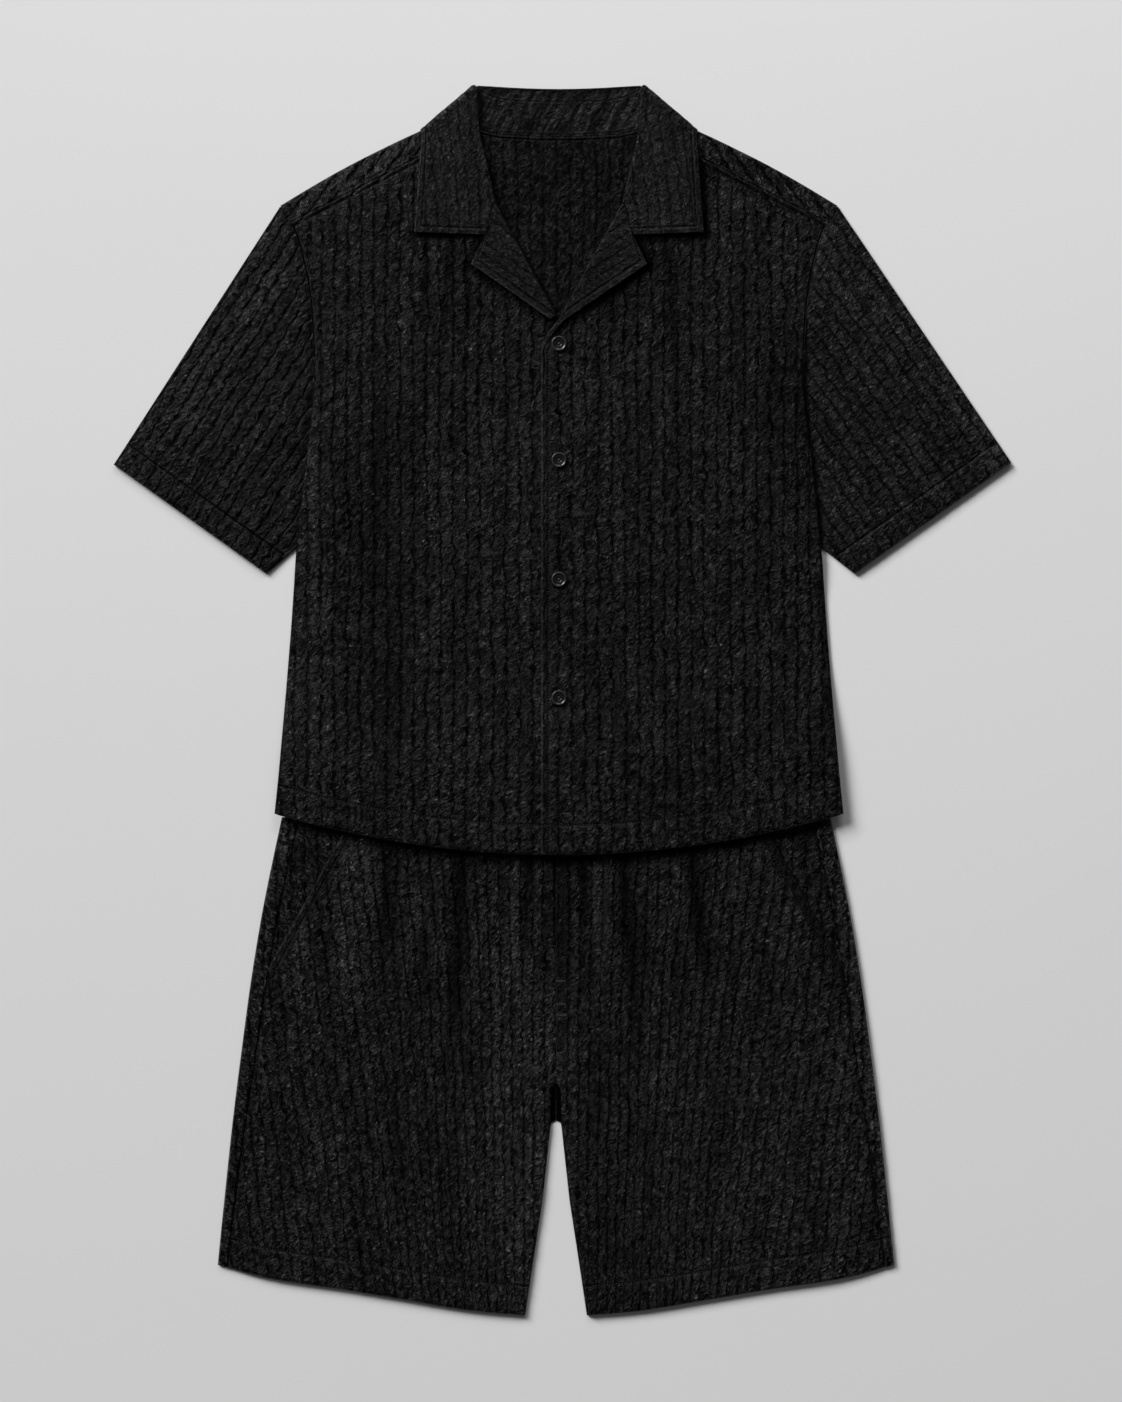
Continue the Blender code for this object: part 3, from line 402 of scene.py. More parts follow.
class Nodes:
    """Short calls that add shader nodes to one material and wire them."""

    def __init__(self, material: bpy.types.Material) -> None:
        """Takes the material's tree.

        Args:
            material: The material to fill.
        """
        material.use_nodes = True
        self.tree = material.node_tree
        self.shader = self.tree.nodes["Principled BSDF"]

    def add(self, kind: str, **inputs) -> bpy.types.Node:
        """Adds a node.

        Args:
            kind: The node's type, after "ShaderNode".
            inputs: Values of its inputs, each named as the socket without spaces.

        Returns:
            The node.
        """
        node = self.tree.nodes.new("ShaderNode" + kind)
        for word, value in inputs.items():
            self.put(node.inputs[word.replace("_", " ")], value)
        return node

    def put(self, socket: bpy.types.NodeSocket, value: "Value | float | tuple") -> None:
        """Wires a value of the tree to the socket, and sets a plain one on it.

        Args:
            socket: The input to fill.
            value: What goes in.
        """
        if isinstance(value, Value):
            self.tree.links.new(value.socket, socket)
        else:
            socket.default_value = value

    def math(self, operation: str, *values: "Value | float") -> Value:
        """Adds one Math node for an operation on numbers or values, in order.

        Args:
            operation: The node's operation.
            *values: Its inputs.

        Returns:
            The result.
        """
        node = self.add("Math")
        node.operation = operation
        for socket, value in zip(node.inputs, values):
            self.put(socket, value)
        return Value(self, node.outputs[0])

    def place(self, x: "Value | float", y: "Value | float", z: "Value | float") -> Value:
        """Joins three numbers or values into a vector."""
        return Value(self, self.add("CombineXYZ", X=x, Y=y, Z=z).outputs[0])

    def cloth_place(self) -> tuple[Value, Value]:
        """The cloth coordinates of a shell: rib count, and distance along the rib.

        Returns:
            Both, as values.
        """
        source = self.add("UVMap")
        source.uv_map = "cloth"
        parts = self.add("SeparateXYZ", Vector=Value(self, source.outputs["UV"]))
        return Value(self, parts.outputs[0]), Value(self, parts.outputs[1])

    def object_place(self) -> Value:
        """Place in the object, in metres."""
        return Value(self, self.add("TexCoord").outputs["Object"])

    def mark(self, word: str) -> Value:
        """Reads one of the marks that a shell carries; 0 where it has none.

        Args:
            word: The mark's name.

        Returns:
            The mark.
        """
        node = self.add("Attribute")
        node.attribute_name = word
        return Value(self, node.outputs["Fac"])

    def noise(self, vector: Value, scale: float, detail: float, warp: float = 0.0) -> Value:
        """Adds a noise texture, about 0.5 in the mean.

        Args:
            vector: Where to read it.
            scale: Cells to a unit.
            detail: Number of finer layers.
            warp: Distortion.

        Returns:
            Its value.
        """
        node = self.add("TexNoise", Vector=vector, Scale=scale, Detail=detail, Distortion=warp)
        return Value(self, node.outputs["Fac"])

    def step(self, value: Value, low: float, high: float) -> Value:
        """Smooth step of a value, from 0 at low to 1 at high.

        Args:
            value: What is read.
            low: Where the step starts.
            high: Where it ends.

        Returns:
            The step.
        """
        node = self.add("MapRange", Value=value, From_Min=low, From_Max=high)
        node.interpolation_type = "SMOOTHSTEP"
        return Value(self, node.outputs["Result"])

    def line(self, value: Value, sharpness: float) -> Value:
        """A thin line where a noise passes 0.5: one less the distance times sharpness, squared."""
        near = self.math("MAXIMUM", 1.0 - abs(value - 0.5) * sharpness, 0.0)
        return self.math("POWER", near, 2.0)

    def bump(self, height: Value, distance: float, strength: float = 1.0, below: Value | None = None) -> Value:
        """Adds a bump and gives its normal.

        Args:
            height: The height, as a share of the distance.
            distance: Metres to a height of 1.
            strength: Share of the effect.
            below: The normal of a bump below this one.

        Returns:
            The normal.
        """
        inputs = {} if below is None else {"Normal": below}
        node = self.add("Bump", Strength=strength, Distance=distance, Height=height, **inputs)
        return Value(self, node.outputs["Normal"])

    def blend(self, share: Value, low: tuple, high: tuple) -> Value:
        """Colour between low at share 0 and high at share 1.

        Args:
            share: Share of the second colour.
            low: The first colour.
            high: The second one.

        Returns:
            The colour.
        """
        node = self.add("Mix")
        node.data_type = "RGBA"
        for socket, value in zip((node.inputs[0], node.inputs[6], node.inputs[7]), (share, low, high)):
            self.put(socket, value)
        return Value(self, node.outputs[2])

    def surface(
        self, colour: Value, roughness: float, specular: Value | float, normal: Value | None = None,
    ) -> None:
        """Sets what the shader shows.

        Args:
            colour: The base colour.
            roughness: The roughness.
            specular: Strength of the gloss.
            normal: The bumped normal, if any.
        """
        shown = {"Base Color": colour, "Roughness": roughness, "Specular IOR Level": specular}
        if normal is not None:
            shown["Normal"] = normal
        for word, value in shown.items():
            self.put(self.shader.inputs[word], value)


@dataclass(frozen=True)
class RibClothFinish:
    """Black cotton crepe: puckered cords between grooves, with a soft gloss and a painted highlight on the crests,
    and painted shade in the grooves.

    It reads the cloth coordinates of each piece, where 1 is one rib across or along.
    Depths are in metres. Each noise is read at a depth of its own, so that no two
    are alike.
    """

    name: str = "rib_cloth"
    dark: tuple = (0.0003, 0.0003, 0.00035, 1.0)
    pale: tuple = (0.021, 0.021, 0.0217, 1.0)
    roughness: float = 0.43
    specular: float = 0.29
    slant: float = 0.92
    fineness: float = 1.8
    groove_depth: float = 0.0015
    pucker_depth: float = 0.002
    crease_depth: float = 0.0016
    crease_share: float = 1.0
    thread_depth: float = 0.00016
    seam_depth: float = 0.0006
    seam_dark: float = 0.8
    wander: float = 0.7
    groove_width: float = 0.17
    thread_scale: float = 1500.0
    lip_distance: float = 1.9
    rim_distance: float = 0.8

    def make(self) -> bpy.types.Material:
        """Builds the node material: relief from cords, wrinkles, thread and seams, then its tone, with painted
        highlights and painted shade.

        Returns:
            The material.
        """
        material = bpy.data.materials.new(self.name)
        nodes = Nodes(material)
        free = 1.0 - nodes.mark("calm")
        s, t = nodes.cloth_place()
        s = s + (nodes.noise(nodes.place(s, t * 0.8, 3.0), 1.5, 2.0) - 0.5) * self.wander
        cord = self.cord(nodes, s, t, free)
        pucker, tiny, lines = self.wrinkles(nodes, s, t, free)
        seam, lips, rim = self.seams(nodes, tiny)
        normal = nodes.bump(cord, self.groove_depth)
        normal = nodes.bump((pucker + tiny * 0.22) * (0.12 + free * 0.88), self.pucker_depth, below=normal)
        normal = nodes.bump(lines, self.crease_depth, below=normal)
        thread = nodes.noise(nodes.object_place(), self.thread_scale, 1.0)
        normal = nodes.bump(thread, self.thread_depth, 0.6, normal)
        normal = nodes.bump(lips * 0.4 - seam, self.seam_depth, below=normal)
        # Painted highlight: pale colour and more gloss on pucker crests, creases, the lips beside stitches and the
        # line along free edges; less of both in the grooves, as painted shade.
        fine = nodes.step(pucker, 0.4, 0.7) * 0.13 + lines + nodes.step(tiny, 0.45, 0.7) * 0.05
        crest = nodes.math("MAXIMUM", (0.5 + cord * 0.5) * fine, lips * 0.3)
        crest = nodes.math("MAXIMUM", crest, rim * 0.4)
        streak = nodes.step(nodes.noise(nodes.place(s, t * 0.12, 17.0), 0.9, 1.0), 0.3, 0.7)
        # Painted shade in the pucker hollows, and the shade mark: painted shade and shadow above 0, painted light
        # below it.
        share = (0.8 + streak * 0.26) * (0.6 + nodes.step(pucker, 0.36, 0.6) * 0.4)
        share = share * (1.0 - nodes.mark("shade") * 0.85) * (1.0 - seam * self.seam_dark)
        crest = crest * share
        gloss = (0.25 + cord * 0.75) * ((0.36 + crest * 2.0) * (share * self.specular))
        nodes.surface(nodes.blend(crest, self.dark, self.pale), self.roughness, gloss, normal)
        return material

    def cord(self, nodes: Nodes, s: Value, t: Value, free: Value) -> Value:
        """Height of the cords: the part of a rib count gives the groove, which comes and goes.

        Args:
            nodes: The tree.
            s: Rib count.
            t: Distance along the rib.
            free: Share of the crinkle that isn't pressed out.

        Returns:
            1 on a cord and less in a groove.
        """
        part = nodes.math("FRACT", s)
        cord = nodes.step(nodes.math("MINIMUM", part, 1.0 - part), 0.0, self.groove_width)
        present = nodes.noise(nodes.place(nodes.math("ROUND", s), t * 0.5, 8.0), 1.0, 1.0)
        present = nodes.step(present, 0.3, 0.5) * free
        return cord + (1.0 - cord) * (1.0 - (0.25 + present * 0.75))

    def wrinkles(self, nodes: Nodes, s: Value, t: Value, free: Value) -> tuple[Value, Value, Value]:
        """Puckers, specks and thin creases.

        Noise is stretched along the slant and shifted from rib to rib, for the
        puckers. Where other such noises pass their middle value there is a crease.

        Args:
            nodes: The tree.
            s: Rib count.
            t: Distance along the rib.
            free: Share of the crinkle that isn't pressed out.

        Returns:
            The puckers, the specks and the creases.
        """
        cos, sin = math.cos(self.slant), math.sin(self.slant)
        along, across = s * cos + t * sin, t * cos - s * sin
        shift = nodes.math("FLOOR", s) * 3.7
        pucker = nodes.noise(nodes.place(along, across * 2.1, shift), self.fineness, 2.0, 0.6)
        folds = nodes.noise(nodes.place(along * 0.8, across * 1.7, shift + 11.0), 1.3 * self.fineness, 1.0, 1.1)
        loops = nodes.noise(nodes.place(s, t * 0.8, shift + 31.0), 1.6 * self.fineness, 0.0, 1.4)
        hooks = nodes.line(loops, 8.0) * nodes.step(pucker, 0.46, 0.6)
        present = nodes.step(nodes.noise(nodes.place(s, t, 60.0), 0.9, 2.0), 0.3, 0.5)
        lines = nodes.math("MAXIMUM", nodes.line(folds, 12.5), hooks) * present * (free * self.crease_share)
        return pucker, nodes.noise(nodes.place(s, t, 5.0), 6.5, 3.0, 0.3), lines

    def seams(self, nodes: Nodes, tiny: Value) -> tuple[Value, Value, Value]:
        """The stitched line, the lips beside it, and a painted highlight line along a free edge.

        Args:
            nodes: The tree.
            tiny: Specks that break up the lips.

        Returns:
            The three as shares from 0 to 1.
        """
        stitch, rim = (nodes.mark(word) + FAR for word in ("stitch", "rim"))
        seam = 1.0 - nodes.step(abs(stitch), 0.12, 0.85)
        lips = 1.0 - nodes.step(abs(abs(stitch) - self.lip_distance), 0.2, 1.2)
        return seam, lips * nodes.step(tiny, 0.3, 0.6), 1.0 - nodes.step(abs(rim - self.rim_distance), 0.2, 1.0)


@dataclass(frozen=True)
class PlainFinish:
    """A finish with one colour, a little mottle and a fine bump."""

    name: str
    colour: tuple
    roughness: float
    specular: float = 0.5
    mottle: float = 0.12
    scale: float = 260.0
    bump: float = 0.05
    bump_depth: float = 0.0003

    def make(self) -> bpy.types.Material:
        """Builds the node material: noise varies the colour and lifts the surface.

        Returns:
            The material.
        """
        material = bpy.data.materials.new(self.name)
        nodes = Nodes(material)
        cloud = nodes.noise(nodes.object_place(), self.scale, 4.0)
        low, high = (
            (*(min(c * (1.0 + sign * self.mottle), 1.0) for c in self.colour), 1.0) for sign in (-1.0, 1.0)
        )
        nodes.surface(nodes.blend(cloud, low, high), self.roughness, self.specular,
                      nodes.bump(cloud, self.bump_depth, self.bump))
        return material


@dataclass(frozen=True)
class HornFinish:
    """Black horn with a dark dish, and a painted highlight on the rim and the middle."""

    name: str = "black_horn"
    dark: tuple = (0.004, 0.004, 0.0043, 1.0)
    highlight_colour: tuple = (0.032, 0.032, 0.034, 1.0)
    roughness: float = 0.27
    specular: float = 0.4

    def make(self) -> bpy.types.Material:
        """Builds the node material: the painted highlight mark blends the two colours.

        Returns:
            The material.
        """
        material = bpy.data.materials.new(self.name)
        nodes = Nodes(material)
        nodes.surface(nodes.blend(nodes.mark("polish"), self.dark, self.highlight_colour), self.roughness, self.specular)
        return material


@dataclass
class Shell:
    """A closed thin wall between a fine skin grid and a coarser lining grid.

    The skin is an array of column by row points. The lining has the same rows, and
    keeps only the columns named in stations. Marks are values on the skin that the finish
    reads: calm is the share by which puckers are pressed out, stitch and rim are
    the distances from the nearest stitched line and free edge, less FAR, and shade
    is painted shade above 0 and painted light below it.
    """

    name: str
    skin: np.ndarray
    lining: np.ndarray
    stations: np.ndarray
    closed: bool = False
    cloth: np.ndarray | None = None
    marks: dict = field(default_factory=dict)

    def faces(self) -> tuple[np.ndarray, np.ndarray]:
        """Corner numbers of all faces in one array, and how many each face has.

        Skin cells and lining cells are quads. A strip of quads closes each end
        column, and one many-sided face closes each lining cell at both end rows.

        Returns:
            Corner numbers, and the corner count of each face.
        """
        columns, rows = self.skin.shape[:2]
        count = len(self.stations)
        skin = np.arange(columns * rows).reshape(columns, rows)
        lining = columns * rows + np.arange(count * rows).reshape(count, rows)
        if self.closed:
            skin, lining = np.vstack([skin, skin[:1]]), np.vstack([lining, lining[:1]])
            stations = np.append(self.stations, columns)
        else:
            stations = np.asarray(self.stations)
        quads = [
            np.stack([skin[:-1, :-1], skin[1:, :-1], skin[1:, 1:], skin[:-1, 1:]], -1).reshape(-1, 4),
            np.stack([lining[:-1, :-1], lining[:-1, 1:], lining[1:, 1:], lining[1:, :-1]], -1).reshape(-1, 4),
        ]
        if not self.closed:
            quads.append(np.stack([skin[0, :-1], skin[0, 1:], lining[0, 1:], lining[0, :-1]], -1))
            quads.append(np.stack([skin[-1, 1:], skin[-1, :-1], lining[-1, :-1], lining[-1, 1:]], -1))
        quads = np.vstack(quads)
        corners, sizes = [quads.ravel()], [np.full(len(quads), 4)]
        for k, (start, end) in enumerate(zip(stations[:-1], stations[1:])):
            first = np.concatenate([skin[start:end + 1, 0][::-1], lining[k:k + 2, 0]])
            last = np.concatenate([skin[start:end + 1, -1], lining[k:k + 2, -1][::-1]])
            corners += [first, last]
            sizes += [[len(first)], [len(last)]]
        return np.concatenate(corners), np.concatenate(sizes)

    def sewn(
        self, side: Side, centre: tuple, finish: bpy.types.Material, node: str | None = None
    ) -> bpy.types.Object:
        """Takes the lining's stations, moves the shell into the set, builds it and dresses it.

        Args:
            side: The wearer's side that the shell is for.
            centre: Centre line of the garment in the set.
            finish: The material.
            node: The solid that it stands for.

        Returns:
            The piece.
        """
        self.skin, self.lining = moved(self.skin, side, centre), moved(self.lining[self.stations], side, centre)
        return dress(self.build(finish), node)

    def build(self, finish: bpy.types.Material) -> bpy.types.Object:
        """Makes the object, with its faces pointing out.

        Args:
            finish: The material.

        Returns:
            The object, at the origin.
        """
        points = np.concatenate([self.skin.reshape(-1, 3), self.lining.reshape(-1, 3)]) * MM
        corners, sizes = self.faces()
        starts = np.concatenate([[0], np.cumsum(sizes)[:-1]])
        fan = points[corners[starts]]
        second, third, fourth = (points[corners[starts + k]] for k in (1, 2, 3))
        volume = np.einsum("ij,ij->i", fan, np.cross(second, third) + np.cross(third, fourth)).sum()
        if volume < 0.0:
            order = np.repeat(starts + sizes - 1, sizes) - (np.arange(len(corners)) - np.repeat(starts, sizes))
            corners = corners[order]
        piece = make_mesh(self.name, points, corners, sizes, finish)
        if self.cloth is not None:
            places = np.concatenate([self.cloth.reshape(-1, 2), self.cloth[self.stations].reshape(-1, 2)])
            indices = np.empty(len(piece.data.loops), np.int32)
            piece.data.loops.foreach_get("vertex_index", indices)
            layer = piece.data.uv_layers.new(name="cloth")
            layer.uv.foreach_set("vector", np.ascontiguousarray(places[indices], np.float32).ravel())
        for word, values in self.marks.items():
            values = np.broadcast_to(values, self.skin.shape[:2])
            values = np.concatenate([values.ravel(), values[self.stations].ravel()])
            attribute = piece.data.attributes.new(word, "FLOAT", "POINT")
            attribute.data.foreach_set("value", np.ascontiguousarray(values, np.float32))
        return piece


def make_mesh(
    name: str, points: np.ndarray, corners: np.ndarray, sizes: np.ndarray, finish: bpy.types.Material
) -> bpy.types.Object:
    """Puts arrays into a new smooth-shaded mesh object.

    Args:
        name: Name of the piece.
        points: Corner places in metres.
        corners: Corner numbers of all faces, one face after another.
        sizes: How many corners each face has.
        finish: The material.

    Returns:
        The object, linked to the scene.
    """
    mesh = bpy.data.meshes.new(name)
    mesh.vertices.add(len(points))
    mesh.vertices.foreach_set("co", np.ascontiguousarray(points, np.float32).ravel())
    mesh.loops.add(len(corners))
    mesh.loops.foreach_set("vertex_index", np.ascontiguousarray(corners, np.int32))
    mesh.polygons.add(len(sizes))
    starts = np.concatenate([[0], np.cumsum(sizes)[:-1]])
    mesh.polygons.foreach_set("loop_start", np.ascontiguousarray(starts, np.int32))
    mesh.update(calc_edges=True)
    mesh.validate()
    mesh.materials.append(finish)
    mesh.shade_smooth()
    mesh.set_sharp_from_angle(angle=math.radians(70.0))
    piece = bpy.data.objects.new(name, mesh)
    bpy.context.scene.collection.objects.link(piece)
    return piece


def dress(piece: bpy.types.Object, node: str | None) -> bpy.types.Object:
    """Rides the piece on the body, and lets it stand for its node.

    Args:
        piece: The piece.
        node: The solid that it stands for, if any.

    Returns:
        The same piece.
    """
    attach(piece, BODY)
    if node:
        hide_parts(node)
    log.info("%s: %d faces", piece.name, len(piece.data.polygons))
    return piece


def moved(points: np.ndarray, side: Side, centre: tuple) -> np.ndarray:
    """The points on the wearer's side, moved from their own centre line to the set's.

    Args:
        points: Points drawn for the wearer's left.
        side: The wearer's side.
        centre: Where the centre line stands in the set's frame.

    Returns:
        The moved points.
    """
    points = np.array(points, float)
    points[..., 0] = points[..., 0] * side.value + centre[0]
    points[..., 1] += centre[1]
    return points


def spread(count: int, number: int) -> np.ndarray:
    """Number column indices spread evenly over count columns, both ends included."""
    return np.unique(np.linspace(0, count - 1, number).astype(int))


@dataclass
class ShirtForm:
    """Outlines and levels of the shirt, measured from its own centre line."""

    body_edge: tuple = (
        (-114.0, 283.5), (-70.0, 279.0), (-28.0, 275.5), (95.0, 266.0), (145.0, 262.5), (230.0, 254.0),
        (320.0, 244.3), (358.0, 245.2), (397.0, 248.2), (435.0, 254.5), (473.0, 266.0), (494.0, 278.0),
    )
    hem_centre: float = -154.5
    hem_rise: float = 40.8
    hem_band: Band = Band(30.0, groove=0.75, groove_width=1.5, inner=2.0, ripple_reach=9.0)
    placket_lap: float = 18.0
    placket_rise: float = 2.2
    shoulder_tip: tuple = (278.0, 494.0)
    shoulder_slope: float = 0.532
    seam_tip: tuple = (266.0, 473.0)
    seam_slope: float = 0.509
    neck_point: float = 104.0
    strip_neck: float = 107.4
    front_neck: tuple = (
        (-18.0, 353.0), (-9.0, 365.5), (2.9, 377.2), (66.3, 494.2), (68.6, 497.0), (107.9, 552.4),
    )
    back_neck: tuple = ((0.0, 563.0), (19.8, 563.1), (59.4, 565.2), (79.2, 569.7), (92.4, 575.5), (104.0, 582.0))
    collar_line: tuple = ((137.0, 564.0), (144.5, 466.0), (74.0, 463.8), (88.0, 434.5), (4.2, 377.6))
    fall_edge_centre: float = 549.0
    fall_edge_rise: float = 15.0
    collar_side_x: float = 136.0
    waist_lift: float = 9.4
    sleeve_lift: float = 3.9
    fall_lift: float = 2.3
    loft: float = 1.2
    buttons: tuple = (355.3, 239.3, 120.3, 2.3)

    def edge(self, y: np.ndarray) -> np.ndarray:
        """Half width of the body at a height."""
        return smooth_at(self.body_edge, y)

    def hem(self, x: np.ndarray) -> np.ndarray:
        """Height of the hem, a shallow arc."""
        return self.hem_centre + self.hem_rise * (x / 283.0) ** 2

    def shoulder(self, x: np.ndarray) -> np.ndarray:
        """Height of the folded shoulder: a slope with a slight bulge, dipping under the collar.

        Args:
            x: Distance from the centre line.

        Returns:
            The shoulder line's height at x.
        """
        x = np.abs(x)
        from_tip = self.shoulder_tip[0] - x
        bulge = 3.5 * np.sin(np.pi * np.clip(from_tip / 139.0, 0.0, 1.0))
        return self.shoulder_tip[1] + self.shoulder_slope * from_tip + bulge - 3.7 * ramp(x, 137.6, 134.0)

    def seam(self, x: np.ndarray) -> np.ndarray:
        """Height of the shoulder seam on the front."""
        return self.seam_tip[1] + self.seam_slope * (self.seam_tip[0] - np.abs(x))

    def fall_edge(self, x: np.ndarray) -> np.ndarray:
        """Height of the collar's edge behind the back."""
        return self.fall_edge_centre + self.fall_edge_rise * np.abs(x) / self.collar_side_x

    def lift(self, x: np.ndarray, y: np.ndarray) -> np.ndarray:
        """Height of the underside, over the waist, the tucked sleeves and the collar's fall.

        Args:
            x: Distance from the centre line.
            y: Height along the body.

        Returns:
            How far the cloth is lifted.
        """
        x = np.abs(x)
        waist = self.waist_lift * ramp(y, 52.0, -70.5)
        sleeve = self.sleeve_lift * ramp(x, 203.0, 229.0) * ramp(y, 95.0, 145.0) * ramp(y, 400.0, 325.0)
        fall = self.fall_lift * ramp(y - self.fall_edge(x), -70.0, -12.0) * ramp(x, 185.0, 148.0)
        return waist + sleeve + fall

    def front_underside(self, x: np.ndarray, y: np.ndarray, side: Side) -> np.ndarray:
        """Underside of a front; the wearer's left one passes over the other at the placket.

        Args:
            x: Distance from the centre line.
            y: Height along the body.
            side: The wearer's side.

        Returns:
            The height of the underside.
        """
        inside = ramp(self.edge(y) - np.abs(x), 0.0, 50.0) * ramp(self.seam(x) - y, 0.0, 55.0)
        level = self.lift(x, y) + 2.0 * FOLD_RADIUS - CLOTH + self.loft * inside
        if side is Side.LEFT:
            level = level + self.placket_rise * ramp(x, 62.0, 22.0)
        return level

    def over_front(self, x: np.ndarray, y: np.ndarray, side: Side) -> np.ndarray:
        """Underside of what lies on a front, just clear of its ribs."""
        return self.front_underside(x, y, side) + CLOTH + CAD_RIB + 0.7

    def folded(self, y: np.ndarray) -> np.ndarray:
        """1 where the side is a folded edge, 0 along the armhole."""
        return ramp(y, 345.0, 300.0)

    def column(self, start: float, share: np.ndarray, y: np.ndarray) -> np.ndarray:
        """Distance of a column from the centre line: straight inside, following the side outside."""
        straight = np.interp(y, (-114.0, 494.0), (283.5, 255.0))
        return start + (straight - start) * share + (self.edge(y) - straight) * share ** 4

    def front_top(self, x: np.ndarray) -> np.ndarray:
        """Height of a front's top edge: the roll line, the neck seam, then the shoulder seam."""
        neck = table_at(self.front_neck, x)
        return np.where(x <= self.front_neck[-1][0], neck, self.seam(x) - SEAM)


def turned_edge(
    half: np.ndarray, y: np.ndarray, level: np.ndarray, middle: np.ndarray, folded: np.ndarray,
    rise: float, steps: int,
) -> tuple[np.ndarray, np.ndarray]:
    """Skin and lining of a side edge that turns to meet the next panel at mid height.

    The skin is a quarter circle of the fold radius and the lining one of that
    radius less the cloth. Where folded is 0 both run flat to the seam.

    Args:
        half: Half width at each row.
        y: Height of each row.
        level: Height of the skin inside the edge.
        middle: Height of the seam where the edge is folded.
        folded: Share of folding at each row.
        rise: 1 for a front, -1 for a back.
        steps: Number of columns, the first at the edge.

    Returns:
        Skin and lining, each steps by rows by 3.
    """
    turn = np.linspace(0.0, np.pi / 2.0, steps)[:, None]
    inner = FOLD_RADIUS - CLOTH
    reach = 1.0 - turn / (np.pi / 2.0)
    start = middle + rise * SEAM / 2.0
    centre = half - FOLD_RADIUS
    skin_x = centre + mix(reach, np.cos(turn), folded) * FOLD_RADIUS
    lining_x = centre + mix(reach * FOLD_RADIUS, np.cos(turn) * inner, folded)
    skin_z = mix(level, start + rise * (FOLD_RADIUS - SEAM / 2.0) * np.sin(turn), folded)
    lining_z = mix(level - rise * CLOTH, start + rise * (inner - SEAM / 2.0) * np.sin(turn), folded)
    rows = np.broadcast_to(y, skin_x.shape)
    return np.stack([skin_x, rows, skin_z], -1), np.stack([lining_x, rows, lining_z], -1)


def settled(column, line, start: float, shares: np.ndarray) -> np.ndarray:
    """Heights where columns meet a line that is a function of the distance.

    Args:
        column: Function of share and height giving the distance.
        line: Function of the distance giving the height.
        start: First guess of the height.
        shares: Shares of the columns.

    Returns:
        The height for each share.
    """
    y = np.full(shares.shape, start)
    for _ in range(8):
        y = line(column(shares, y))
    return y


